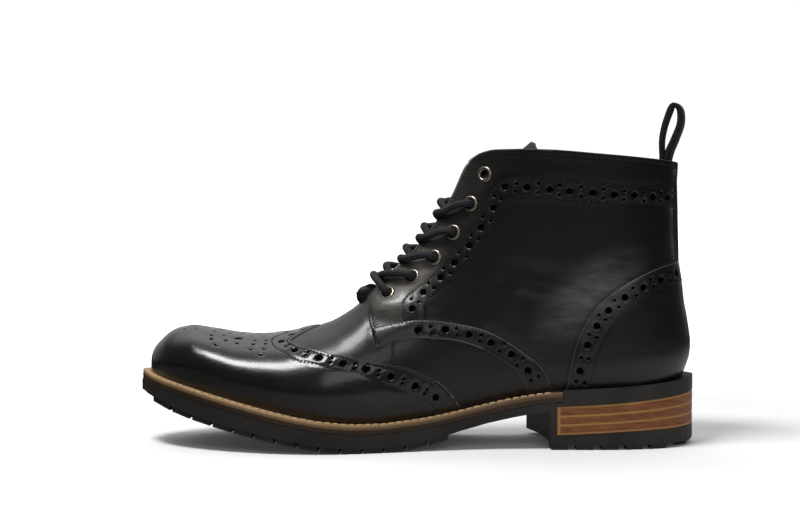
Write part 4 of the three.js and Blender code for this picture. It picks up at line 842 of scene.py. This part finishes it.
# Wing cap: from the sole round the toe to the winged edge
wingEdges = [toCap(boot["Outer"]["wingEdge"]), toCap(boot["Inner"]["wingEdge"])]
wingOutline = np.vstack([wingEdges[0], toeSeat(wing["edge"][-1][0]), wingEdges[1][::-1]])
wingHoles = []
for lines in boot.values():
    large = lines["wingLarge"]
    along = unit(large[1:] - large[:-1])
    middle = (large[1:] + large[:-1]) / 2
    side = unit(np.cross(outward(middle), along)) * wing["pinOffset"] / 2
    wingHoles += punched(large, wing["holeRadius"], 16)
    wingHoles += punched(skinned(np.vstack([middle + side, middle - side])), wing["pinRadius"], 8)
peak = skinned(wing["peakLarge"])
wingHoles += punched(np.vstack([peak, skinned(across(wing["peakLarge"][1:]))]), wing["holeRadius"], 16)
for x, far, long, wide in medallion["big"]:
    for y in {medallion["middle"] + far, medallion["middle"] - far}:
        wingHoles += punched(fromAbove([(x, y)]), (long, wide), 14)
pins = np.array(medallion["pins"], float)
for sign in (1, -1):
    used = pins if sign > 0 else pins[pins[:, 1] > 0.5]
    seenAbove = np.column_stack([used[:, 0], medallion["middle"] + sign * used[:, 1]])
    wingHoles += punched(fromAbove(seenAbove), medallion["pinRadius"], 8)
capSeams = [(boot[label]["wingInner"], 0.0) for label in boot]
capSeams += [(boot["Outer"]["wingEdge"], -wing["seamIn"]), (boot["Inner"]["wingEdge"], wing["seamIn"])]
panel("wingCap", capRays, toCap, wingOutline, calfToe, ["wing_cap"], wingHoles,
      [toCap(beside(line[2:-2], d)) for line, d in capSeams], spacing=1.7, bottom=-1.0, paintedEdgeLight=True)

# Vamp under the cap, up to the throat, and the shaft's lining behind it
rear = [(-44, 29.5), (-47, 45), (-62, 60), (-85, 70), (-110, 74), (-128, 74), (-139, 76)]
mouthPoints = [(-143.5, -5.2), (-145.6, -3.6), (-146.9, -1.8), (-147.5, 0)]
throatFoot = [(-141, -6.8), (-140, -7.2)]
vampSides = [toCap(np.vstack([sideLine(rear, 1.6, side), planLine(np.array(mouthPoints) * [1, -side], 1.2)]))
             for side in (-1, 1)]
vampOutline = np.vstack([vampSides[0], vampSides[1][:-1][::-1], toeSeat(-44)[::-1]])
vampSeams = [sideLine([(-131.4, 58), (-131.1, 52), (-130.3, 46), (-129.4, 40)], 1.3, side) for side in (-1, 1)]
panel("vamp", capRays, toCap, vampOutline, calfBody, ["upper"],
      grooves=[toCap(line) for line in vampSeams], spacing=2.0, top=-0.8, bottom=-3.5)

liningSides, seams = [], []
for label, side in (("Outer", -1), ("Inner", 1)):
    lines = boot[label]
    mirrored = lambda u: u if side < 0 else 2 * heelBack - u
    top = toWrap(np.vstack([lines["front"], lines["throat"], lines["collar"]]))
    top[-1, 0] = mirrored(heelBack - 0.01)
    edge = toWrap(lines["edge"])
    seat = sideSeat(mirrored(heelBack - 0.01), mirrored(quarter["edge"][0][0] + 0.3))
    outline = np.vstack([top, seat, edge[:-1]])
    holes = punched(lines["eyelets"], eyelets["hole"], 16) + punched(lines["stayLarge"], quarter["holeRadius"], 16)
    holes += punched(np.vstack([lines["bandLarge"], lines["counterLarge"]]), quarter["holeRadius"], 16)
    holes += punched(lines["stayPins"], quarter["pinRadius"], 8)
    rows = [(lines["front"][1:], side * 2.2), (lines["throat"][4:], side * 2.5), (lines["collar"][1:-2], side * 2.5),
            (lines["stayFront"], 0), (lines["stayRear"], 0)]
    flats = [toWrap(beside(line, d)) for line, d in rows]
    panel("quarter" + label, wrapRays, toWrap, outline, calfBody, ["quarter_" + label.lower()], holes,
          flats, spacing=1.45, paintedEdgeLight=True)
    seams.append(("quarterStitches" + label, [beside(line, d) for line, d in rows], 0.0))
    liningFront = np.vstack([sideLine(rear, 1.6, side), planLine(np.array(throatFoot) * [1, -side], 1)])
    liningSides.append(toWrap(np.vstack([liningFront, lines["throat"][7:], lines["collar"]])))
    # the lower band lies on the quarter, as the counter does at the heel
    seat = sideSeat(mirrored(quarter["bandTop"][-1][0]), mirrored(quarter["edge"][0][0]))
    band = np.vstack([toWrap(lines["bandTop"]), seat, edge])
    rows = [(lines["edge"][3:-1], side * 1.4), (lines["bandTop"][1:-2], side * 0.7)]
    holes = punched(lines["bandLarge"], quarter["holeRadius"], 16) + punched(lines["bandPins"], quarter["pinRadius"], 8)
    panel("lowerBand" + label, wrapRays, toWrap, band, calfBody, [], holes, [toWrap(beside(*rows[0]))],
          spacing=1.5, top=0.55, bottom=0.02, paintedEdgeLight=True)
    seams.append(("bandStitches" + label, [beside(*rows[1])], 0.5))

liningOutline = np.vstack([liningSides[0][:-1], liningSides[1][::-1], sideSeat(2 * heelBack + 44, -44)])
liningHoles = punched(np.vstack([boot["Outer"]["eyelets"], boot["Inner"]["eyelets"]]), eyelets["hole"], 12)
panel("shaftLining", wrapRays, toWrap, liningOutline, liningLeather, ["upper"], liningHoles, spacing=2.4,
      top=-1.2, bottom=-3.5, lip=0.7)

counterSides = [toWrap(boot[label]["counterEdge"]) for label in boot]
counterSeat = sideSeat(2 * heelBack - counter["edge"][0][0], counter["edge"][0][0])
counterOutline = np.vstack([counterSides[0], counterSides[1][::-1], counterSeat])
counterHoles, rows = punched(sidePoints(counter["large"][-1:]), counter["holeRadius"], 16), []
for label, side in (("Outer", -1), ("Inner", 1)):
    lines = boot[label]
    counterHoles += punched(lines["counterLarge"], counter["holeRadius"], 16)
    counterHoles += punched(lines["counterPins"], counter["pinRadius"], 8)
    rows += [(lines["counterEdge"][2:-1], -side * 1.3), (lines["counterInner"][1:-1], 0)]
panel("heelCounter", wrapRays, toWrap, counterOutline, calfBody, ["heel_counter"], counterHoles,
      [toWrap(beside(*row)) for row in rows], spacing=1.7, top=1.1, bottom=0.1, paintedEdgeLight=True)
seams.append(("counterStitches", [beside(*row) for row in rows], 1.02))

stay = dict(half=9.0, heights=(155.0, 130.0, 98.0))
stayLines = [sideLine([(heelBack - stay["half"], z) for z in stay["heights"]], 1.3, side) for side in (-1, 1)]
stayOutline = np.vstack([toWrap(stayLines[0]), toWrap(stayLines[1])[::-1]])
panel("backStay", wrapRays, toWrap, stayOutline, calfBody, [], spacing=1.6, top=0.5, bottom=0.02)
seams.append(("stayStitches", [beside(stayLines[0], -1.3), beside(stayLines[1], 1.3)], 0.5))
seams.append(("vampStitches", vampSeams, -0.8))
seams.append(("capStitches", [beside(line[1:-1], d) for line, d in capSeams], 0.0))
blackStitch = dict(pitch=2.1, ends=(-0.625, -0.34375, 0.34375, 0.625), radii=(0.162, 0.36, 0.36, 0.162),
                   dip=(0.324, 0, 0, 0.324), sides=5)
for name, rows, height in seams:
    stitches = [stitchesAlong(line, blackStitch["pitch"]) for line in rows]
    middle, along = (np.concatenate(part) for part in zip(*stitches))
    n = outward(middle)
    verts, faces = beads(middle + n * (relief(middle) + height)[:, None], along, n, blackStitch)
    addPiece(name, verts, faces, blackThread, sharp=180)


def plugs(groups, sides=12, thick=0.15):
    # thin round discs under the punched holes, flat black as painted shade in each hole: a ring at one height over the
    # skin, and its copy a little lower
    verts, faces, count, a = [], [], 0, np.arange(sides)
    for centres, radius, height in groups:
        n = outward(centres)
        along = unit(np.cross(n, [0, 0, 1.0]))
        up = np.cross(along, n)
        ring = centres[:, None] + circle(along, up, sides) * radius
        top = ring + n[:, None] * (relief(centres) + height)[:, None, None]
        verts.append(np.concatenate([top, top - n[:, None] * thick], axis=1).reshape(-1, 3))
        first = count + np.arange(len(centres))[:, None] * 2 * sides
        faces += [first + a[::-1], first + sides + a, bands(first, sides)]
        count += 2 * sides * len(centres)
    return np.concatenate(verts), faces


# painted shade: flat black discs under the holes
holeShadeGroups = [(np.array([centre for centre, radius, _ in wingHoles if np.isscalar(radius)]), 1.9, -0.7)]
for lines in boot.values():
    holeShadeGroups.append((np.vstack([lines["stayLarge"], lines["stayPins"], lines["counterLarge"]]), 2.0, -1.02))
    holeShadeGroups.append((lines["bandLarge"], 2.0, -0.7))
    holeShadeGroups.append((np.vstack([lines["bandPins"], lines["counterPins"]]), 1.1, 0.03))
verts, faces = plugs(holeShadeGroups)
addPiece("holeShadeDiscs", verts, faces, holeShade, sharp=40)
print("leather pieces cut")


def tube(path, radius, sides, name, material, nodes, step=0.7):
    # a round section carried along a path by the least turning; uv is turn and length
    line = through(path, step)
    along = unit(np.gradient(line, axis=0))
    side = [unit(np.cross(along[0], [0.3, 0.2, 1.0]))]
    for a in along[1:]:
        side.append(unit(side[-1] - a * np.dot(side[-1], a)))
    side = np.array(side)
    up = np.cross(along, side)
    swell = np.ones(len(line))
    swell[[0, -1]] = 0.55
    verts = (line[:, None] + circle(side, up, sides) * (radius * swell)[:, None, None]).reshape(-1, 3)
    n, a = len(line), np.arange(sides)
    quads = bands(np.arange(n - 1)[:, None] * sides, sides)
    caps = np.array([a[::-1], (n - 1) * sides + a])
    far = np.concatenate([[0], np.cumsum(np.linalg.norm(np.diff(line, axis=0), axis=1))])
    uv = np.column_stack([np.tile(np.arange(sides) / sides, n), np.repeat(far * mm, sides)])
    addPiece(name, verts, [quads, caps], material, nodes, sharp=180, uv=uv)


def lathe(profile, places, normals, sides):
    # a closed profile of radius and height turned round each place's normal
    profile = np.asarray(profile, float)
    across = unit(np.cross(normals, [0.0, 0.0, 1.0]))
    up = np.cross(normals, across)
    radii, heights = profile[:, 0, None, None], profile[:, 1, None, None]
    verts = places[:, None, None] + circle(across, up, sides)[:, None] * radii + normals[:, None, None] * heights
    rows, a = len(profile), np.arange(sides)
    b = (a + 1) % sides
    r = np.arange(rows)[:, None] * sides
    after = np.roll(r, -1, axis=0)
    one = np.stack([r + a, after + a, after + b, r + b], axis=-1).reshape(-1, 4)
    quads = (one[None] + np.arange(len(places))[:, None, None] * rows * sides).reshape(-1, 4)
    return verts.reshape(-1, 3), quads


eyeletRing = dict(profile=[(2.3, -4.3), (2.3, 0.0), (2.45, 0.5), (2.85, 0.85), (3.4, 0.97), (3.95, 0.87),
                           (4.35, 0.55), (4.5, 0.1), (4.45, -0.2), (2.7, -0.2), (2.7, -4.3)], sides=32,
                  level=[0, 0.1, 1, 1, 1, 1, 1, 1, 1, 0, 0])
places = np.vstack([boot["Outer"]["eyelets"], boot["Inner"]["eyelets"]])
normals = outward(places)
places = places + normals * relief(places)[:, None]
verts, quads = lathe(eyeletRing["profile"], places, normals, eyeletRing["sides"])
# level 0 on the barrel, which is painted dark as shade
level = np.tile(np.repeat(eyeletRing["level"], eyeletRing["sides"]), len(places))
addPiece("eyelets", verts, [quads], nickel,
         ["eyelet_%s_%d" % (side, i) for side in ("outer", "inner") for i in range(1, 7)], sharp=50, value=level)


def over(degrees, y, lift):
    # a place lifted off the instep
    p = fanPoint(degrees, y)
    return (p + outward(p) * lift)[0]


throatTable = np.array([(-147.5, 0), (-146.6, 2.6), (-144.6, 4.8), (-140, 7), (-133.4, 9.6), (-127.5, 12), (-121, 14),
                        (-112, 14.4), (-98, 14.2), (-94.5, 13.5), (-91.5, 13.3), (-88.8, 14.9), (-84.8, 18.9),
                        (-80, 22.9), (-74, 26.9)])
throatHalf = smoothCurve(throatTable[:, 0], throatTable[:, 1])


def mouth(index, side):
    # the lace's way up through one eyelet
    i = index if side < 0 else index + 6
    return [places[i] + normals[i] * lift for lift in (-5.6, -3.2, 0.1)]


def strand(index, side):
    # out of an eyelet, over the edge of its facing, down into the throat and under the other facing
    high, low, wide = eyelets["angle"][index], eyelets["angle"][index - 1], eyelets["half"][index]
    at = lambda share: low + (high - low) * share
    edge = throatHalf(fanPoint(at(0.3), 12)[0, 0])
    shares, more = ((0.8, 0.32, 0.13, 0.06), 0) if side < 0 else ((0.88, 0.6, 0.5, 0.34), 0.7)
    steps = [(1, side * wide, 1.9), (shares[0], side * (wide - 2.2), 3.9), (shares[1], side * (edge + 2.6), 3.4 + more),
             (shares[2], side * (edge - 2.4), 2.0 + more), (shares[3], side * (edge - 7.4), -4.4), (0.12, 0, -5.8),
             (0.1, -side * (edge + 3), -6.3)]
    return mouth(index, side) + [over(at(share), y, lift) for share, y, lift in steps]


angle, wide = eyelets["angle"][0], eyelets["half"][0]
barSteps = ((-wide, 1.9), (-wide + 2.6, 3.9), (-9, 4.4), (0, 4.6), (9, 4.4), (wide - 2.6, 3.9), (wide, 1.9))
bar = mouth(0, -1) + [over(angle, y, lift) for y, lift in barSteps] + mouth(0, 1)[::-1]
run = strand(4, -1) + strand(3, 1) + strand(2, -1) + strand(1, 1) + bar
for index, side in ((1, -1), (2, 1), (3, -1), (4, 1)):
    run += strand(index, side)[::-1]
tube(run, 2.05, 14, "lace", lace, ["lace_bar"] + ["lace_cross_%d" % i for i in range(1, 5)])

tongueShape = dict(angle=[34.2, 35.6, 36.6, 37.4, 38.1, 38.8, 40, 43.2, 46, 50, 54, 58, 61.5, 63.8, 65.2, 65.9],
                   inset=[-4.6, -4, -2.6, 2, 7.6, 10, 10.4, 10.2, 10, 10, 11.2, 15, 21.5, 27, 30.4, 32],
                   half=[4.6, 4.6, 4.6, 4.6, 6, 8, 12, 18, 22, 25, 26, 27, 26, 22, 14, 5],
                   sunk=6, thick=2.2, fold=3.0, foldFrom=36.4, foldRun=1.6, rows=110, columns=44)


def tongueSkin(sink, fold=0.0):
    # angle in the fan by share of the width; the drop from the ridge follows the instep, 6 mm inside the skin
    at = np.linspace(tongueShape["angle"][0], tongueShape["angle"][-1], tongueShape["rows"])
    share = np.linspace(-1, 1, tongueShape["columns"])
    inset = smoothCurve(tongueShape["angle"], tongueShape["inset"])(at)
    half = smoothCurve(tongueShape["angle"], tongueShape["half"])(at)
    turn, y = np.radians(np.repeat(at, len(share))), (half[:, None] * share).ravel()
    centre = np.array([last["fanX"], 0, last["fanZ"]])
    drop, middle = (np.linalg.norm((fanPoint(np.degrees(turn), far, -tongueShape["sunk"]) - centre)[:, [0, 2]], axis=1)
                    for far in (y, 0 * y))
    folded = 1 - ease((np.degrees(turn) - tongueShape["foldFrom"]) / tongueShape["foldRun"])
    thicker = fold * folded  # folded double where it is sewn under the vamp
    reach = ridgeRadius(turn) + np.repeat(inset, len(share)) + drop - middle + sink + thicker
    return np.column_stack([centre[0] + np.sin(turn) * reach, y, centre[2] - np.cos(turn) * reach])


def shell(face, back, rows, columns):
    # two grids of the same size joined round their rims into one closed sheet
    grid = np.arange(rows * columns).reshape(rows, columns)
    quads = np.stack([grid[:-1, :-1], grid[:-1, 1:], grid[1:, 1:], grid[1:, :-1]], axis=-1).reshape(-1, 4)
    rim = np.concatenate([grid[0, :-1], grid[:-1, -1], grid[-1, :0:-1], grid[:0:-1, 0]])
    after = np.roll(rim, -1)
    m = rows * columns
    walls = np.column_stack([rim, rim + m, after + m, after])
    return np.vstack([face, back]), [quads, quads[:, ::-1] + m, walls]


verts, faces = shell(tongueSkin(0), tongueSkin(tongueShape["thick"], tongueShape["fold"]), tongueShape["rows"],
                     tongueShape["columns"])
addPiece("leatherTongue", verts, faces, calfTongue, ["tongue"], sharp=60)

tongueRoll = dict(place=(-145.6, 81.1), half=5.4, radius=5.2)
x, z = tongueRoll["place"]
tube([(x, -tongueRoll["half"], z), (x, 0, z + 0.3), (x, tongueRoll["half"], z)], tongueRoll["radius"], 28,
     "tongueFold", calfTongue, [])

loop = dict(path=[(18.1, 143), (18.1, 150), (18.2, 158), (18.2, 168), (20.6, 178.4), (24.4, 186.2), (27.6, 184.4),
                  (28.4, 177), (25.4, 168), (22.3, 160.6), (20.5, 153), (20.4, 143)], width=11, thick=2.7,
            lean=[9, 16, 28], step=0.7)
line = through([(x, 0, z) for x, z in loop["path"]], loop["step"])
along = unit(np.gradient(line, axis=0))
lean = np.radians(np.interp(np.arange(len(line)), [0, len(line) * 0.45, len(line)], loop["lean"]))
side = np.column_stack([np.sin(lean), np.cos(lean), 0 * lean])
side = unit(side - along * np.sum(side * along, axis=1)[:, None])
up = np.cross(along, side)
wide, thin = loop["width"] / 2, loop["thick"] / 2
half = np.array([(-wide, -thin * 0.5), (-wide + 0.4, -thin), (0, -thin), (wide - 0.4, -thin), (wide, -thin * 0.5)])
section = np.vstack([half, -half])
m = len(section)
verts = line[:, None] + section[:, 0, None] * side[:, None] + section[:, 1, None] * up[:, None]
a = np.arange(m)
faces = [bands(np.arange(len(line) - 1)[:, None] * m, m), np.array([a[::-1], (len(line) - 1) * m + a])]
far = np.arange(len(line)) * loop["step"]
uv = np.column_stack([np.tile(section[:, 0] / loop["width"], len(line)), np.repeat(far * mm, m)])
addPiece("pullLoop", verts.reshape(-1, 3), faces, tape, ["pull_loop"], sharp=70, uv=uv)

# Sole: closed plan line, and profiles carried along it
solePlan = np.array([(-270, -4.5, 4.5), (-268.2, 3, 13), (-263.9, 12.5, 21.5), (-254.7, 23, 31.4), (-242.5, 32, 39.6),
                     (-227.2, 40, 46.6), (-208.8, 46.6, 51.5), (-190.4, 50.5, 53.3), (-172.1, 51.8, 51.8),
                     (-153.7, 49.5, 46.5), (-129.2, 43.5, 37.5), (-104.8, 37.5, 31.5), (-80.3, 34, 30),
                     (-55.8, 33.8, 31.5), (-31.3, 34.6, 33.4), (-9.9, 34.2, 33.5), (8.5, 31, 30.5),
                     (23.8, 23.5, 23.5), (32.3, 13, 13), (36, 0, 0)])
ringPoints = np.vstack([np.column_stack([solePlan[::-1, 0], -solePlan[::-1, 1]]), solePlan[1:-1][:, [0, 2]]])
ringPoints = np.vstack([ringPoints, ringPoints[:3]])
sole = dict(weltEnd=-38.4, stackFront=-42, weltDrop=0.9, overlap=200)
soleRing = through(ringPoints, 1.0)  # the line overlaps itself, and is cut where it passes its second point again
start = np.argmin(np.linalg.norm(soleRing[:sole["overlap"]] - ringPoints[1], axis=1))
finish = np.argmin(np.linalg.norm(soleRing[-sole["overlap"]:] - ringPoints[1], axis=1)) - sole["overlap"]
soleRing = soleRing[start:finish]


def carried(profile, ring, heightAt):
    # each profile point is a distance in from the sole's edge and a height over the line that heightAt gives
    base = heightAt(ring[:, 0])
    verts = np.stack([np.column_stack([shifted(ring, -d), base + h]) for d, h in profile], axis=1)
    n, m = verts.shape[:2]
    a = np.arange(m)
    quads = bands(np.arange(n - 1)[:, None] * m, m)[:, [0, 3, 2, 1]]
    return verts.reshape(-1, 3), [quads, np.array([a, (n - 1) * m + a[::-1]])]


forward = soleRing[:, 0] < sole["weltEnd"]
frontRing = soleRing[forward]
weltTop = lambda x: seatAt(x) - sole["weltDrop"]
weltProfile = [(0.15, -2.6), (0.0, -2.2), (0.0, -0.6), (0.25, -0.12), (0.8, 0.05), (1.5, 0.0), (2.2, -0.35),
               (2.9, 0.0), (4.2, 0.05), (11, 0.0), (11, -2.6)]
# painted shade: 1 on the welt's top face, lower down its side
weltShadeLevel = [0.2, 0.35, 0.75, 0.95, 1, 1, 1, 1, 1, 1, 0]
verts, faces = carried(weltProfile, frontRing, weltTop)
addPiece("weltStrip", verts, faces, weltTan, ["welt"], sharp=50,
         value=np.tile(weltShadeLevel, len(frontRing)))
midProfile = [(0.6, -5.9), (0.32, -5.6), (0.28, -3.1), (0.6, -2.85), (14, -2.85), (14, -5.9)]
verts, faces = carried(midProfile, frontRing, seatAt)
addPiece("midsoleEdge", verts, faces, midBrown, [], sharp=40)

tanStitch = dict(pitch=4.35, inset=2.1, height=0.12, ends=(-1.85, -1.2, 1.2, 1.85), radii=(0.35, 0.62, 0.62, 0.35),
                 dip=(0.45, 0, 0, 0.45), sides=8)
weltLine = shifted(frontRing, -tanStitch["inset"])
weltLine = np.column_stack([weltLine, weltTop(weltLine[:, 0]) + tanStitch["height"]])
middle, along = stitchesAlong(weltLine[6:-6], tanStitch["pitch"])
n = np.cross(along, unit(np.cross([0.0, 0.0, 1.0], along)))
verts, faces = beads(middle, along, n, tanStitch)
addPiece("weltStitches", verts, faces, tanThread, sharp=180)

randFloor = np.array([(-60, 22.9), (-42, 23.6), (-22, 24.5), (1, 26.1), (20, 27.9), (36, 29.6)])
liftFloor = np.array([(-60, 7.4), (-41, 7.9), (-22, 8.8), (2, 10), (36, 11)])
randAt, liftAt = smoothCurve(randFloor[:, 0], randFloor[:, 1]), smoothCurve(liftFloor[:, 0], liftFloor[:, 1])
heel = dict(levels=31, lifts=3, gap=0.15, inset=0.3, proud=0.14, wave=0.12)
back = soleRing[:, 0] > sole["stackFront"] - 0.4
order = np.argsort(np.arctan2(soleRing[back, 1], soleRing[back, 0] + 20))
stackRing = soleRing[back][order]
levels = np.linspace(0, 1, heel["levels"])
low, high = liftAt(stackRing[:, 0]) + heel["gap"], randAt(stackRing[:, 0]) - heel["gap"]
stackRing = shifted(stackRing, heel["inset"])
wave = heel["wave"] * np.abs(np.sin(levels * heel["lifts"] * math.pi)) ** 0.3  # lifts swell a little between joints
rows = [np.column_stack([shifted(stackRing, heel["proud"] - w), low + (high - low) * l]) for l, w in zip(levels, wave)]
n = len(stackRing)
a = np.arange(n)
quads = bands(np.arange(len(levels) - 1)[:, None] * n, n)
addPiece("heelStack", np.vstack(rows), [quads, a[None, ::-1], (len(levels) - 1) * n + a[None]], stackBrown,
         ["heel_lift_%d" % i for i in (1, 2, 3)], sharp=50, value=np.repeat(levels, n))

for name, material in (("outsole", rubber), ("insole", liningLeather), ("midsole", midBrown)):
    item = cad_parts[name]
    item.data.materials.clear()
    item.data.materials.append(material)

# Studio: pale floor that reads white to the camera and is painted with a pool of light for reflections, a grey back, a
# dark front and two softboxes; directions, places and sizes in m
studio = dict(cameraPlace=(-0.1267, -1.05, 0.159), cameraTilt=86.65, lens=85.365, sensor=36, floorSize=8,
              middle=(-0.1, 0, 0), paper="#fbfbfa", paperGain=1.34, paperGlow=(0.03, 0.95), glowFrom=(0.25, 0.8),
              poolShadeToe="#6d6b68", poolLightHeel="#efedea", toeToHeel=(-0.3, 0.1), poolFrom=(0.28, 0.65), poolLow=0.06,
              white=1.05)
floorMaterial, tree, shader = newMaterial("paperFloor", studio["paper"], 0.9)
bpy.ops.mesh.primitive_plane_add(size=studio["floorSize"], location=(0, 0, 0))
floor = bpy.context.object
floor.name = "studioFloor"
floor.data.materials.append(floorMaterial)
lightPath = node(tree, "ShaderNodeLightPath")
tree.nodes.remove(shader)
paper = node(tree, "ShaderNodeBsdfDiffuse", Color=(studio["paperGain"],) * 3 + (1,))
place = node(tree, "ShaderNodeTexCoord").outputs["Object"]
split = node(tree, "ShaderNodeSeparateXYZ", {"Vector": place})
toHeel = node(tree, "ShaderNodeMapRange", {"Value": split.outputs["X"]},
              **{"From Min": studio["toeToHeel"][0], "From Max": studio["toeToHeel"][1]})
far = node(tree, "ShaderNodeVectorMath", {0: place, 1: studio["middle"]}, operation="DISTANCE").outputs["Value"]
glow = node(tree, "ShaderNodeMapRange", {"Value": far},
            **{"From Min": studio["glowFrom"][0], "From Max": studio["glowFrom"][1],
               "To Min": studio["paperGlow"][0], "To Max": studio["paperGlow"][1]})
lit = node(tree, "ShaderNodeEmission", {"Strength": glow.outputs["Result"]}, Color=(1, 1, 1, 1))  # overexposed far out
seen = node(tree, "ShaderNodeAddShader", {0: paper.outputs[0], 1: lit.outputs[0]})
# painted light: for reflections the floor is painted as a pool of light, darker toward the toe and brighter toward the
# heel, falling to dark further out
near = node(tree, "ShaderNodeMapRange", {"Value": far},
            **{"From Min": studio["poolFrom"][0], "From Max": studio["poolFrom"][1],
               "To Min": 1.0, "To Max": studio["poolLow"]})
tint = node(tree, "ShaderNodeValToRGB", {"Fac": toHeel.outputs["Result"]},
            stops=[(0.0, studio["poolShadeToe"]), (1.0, studio["poolLightHeel"])])
paintedLightPool = node(tree, "ShaderNodeMix", {0: 1.0, 6: tint.outputs["Color"], 7: near.outputs["Result"]}, data_type="RGBA",
            blend_type="MULTIPLY")
dim = node(tree, "ShaderNodeBsdfDiffuse", {"Color": paintedLightPool.outputs[2]})
mix = node(tree, "ShaderNodeMixShader", {0: lightPath.outputs["Is Camera Ray"], 1: dim.outputs[0], 2: seen.outputs[0]})
tree.links.new(mix.outputs[0], tree.nodes["Material Output"].inputs["Surface"])

sky = dict(front=0.08, back=0.5, backFrom=0.45, backTo=0.95, dome=1.5, domeFrom=0.4, domeTo=1.0, sideFrom=0.02,
           sideTo=0.58)  # radiance by direction: low front, low back, high back
world = bpy.data.worlds.new("studioWorld")
bpy.context.scene.world = world
world.use_nodes = True
tree = world.node_tree
direction = node(tree, "ShaderNodeTexCoord").outputs["Generated"]
split = node(tree, "ShaderNodeSeparateXYZ", {"Vector": direction})
rear = node(tree, "ShaderNodeMapRange", {"Value": split.outputs["Y"]}, interpolation_type="SMOOTHSTEP",
            **{"From Min": sky["backFrom"], "From Max": sky["backTo"], "To Min": sky["front"], "To Max": sky["back"]})
high = node(tree, "ShaderNodeMapRange", {"Value": split.outputs["Z"]}, interpolation_type="SMOOTHSTEP",
            **{"From Min": sky["domeFrom"], "From Max": sky["domeTo"], "To Min": 0.0, "To Max": sky["dome"]})
side = node(tree, "ShaderNodeMapRange", {"Value": split.outputs["Y"]}, interpolation_type="SMOOTHSTEP",
            **{"From Min": sky["sideFrom"], "From Max": sky["sideTo"]})
dome = node(tree, "ShaderNodeMath", {0: high.outputs["Result"], 1: side.outputs["Result"]}, operation="MULTIPLY")
total = node(tree, "ShaderNodeMath", {0: rear.outputs["Result"], 1: dome.outputs[0]}, operation="ADD")
background = tree.nodes["Background"]
background.inputs["Color"].default_value = (1, 1, 1, 1)
tree.links.new(total.outputs[0], background.inputs["Strength"])
white = node(tree, "ShaderNodeBackground", Color=(1, 1, 1, 1), Strength=studio["white"])
path = node(tree, "ShaderNodeLightPath")
mix = node(tree, "ShaderNodeMixShader",
           {0: path.outputs["Is Camera Ray"], 1: background.outputs[0], 2: white.outputs[0]})
tree.links.new(mix.outputs[0], tree.nodes["World Output"].inputs["Surface"])

softboxes = dict(key=dict(place=(-0.46, -0.32, 1.18), target=(-0.2, 0, 0.05), width=0.46, height=0.3, power=8.5),
                 fill=dict(place=(0.26, -1.34, 0.85), target=(-0.1, 0, 0.05), width=0.85, height=0.7, power=2.4))
for name, box in softboxes.items():
    data = bpy.data.lights.new(name, "AREA")
    data.shape, data.size, data.size_y, data.energy = "RECTANGLE", box["width"], box["height"], box["power"]
    item = bpy.data.objects.new(name, data)
    bpy.context.scene.collection.objects.link(item)
    item.location = box["place"]
    item.rotation_euler = (Vector(box["target"]) - Vector(box["place"])).to_track_quat("-Z", "Y").to_euler()

cameraData = bpy.data.cameras.new("camera")
cameraData.lens, cameraData.sensor_width = studio["lens"], studio["sensor"]
camera = bpy.data.objects.new("camera", cameraData)
bpy.context.scene.collection.objects.link(camera)
camera.location = studio["cameraPlace"]
camera.rotation_euler = (math.radians(studio["cameraTilt"]), 0, 0)
bpy.context.scene.camera = camera
bpy.context.scene.view_settings.view_transform = "Standard"
print("studio ready")
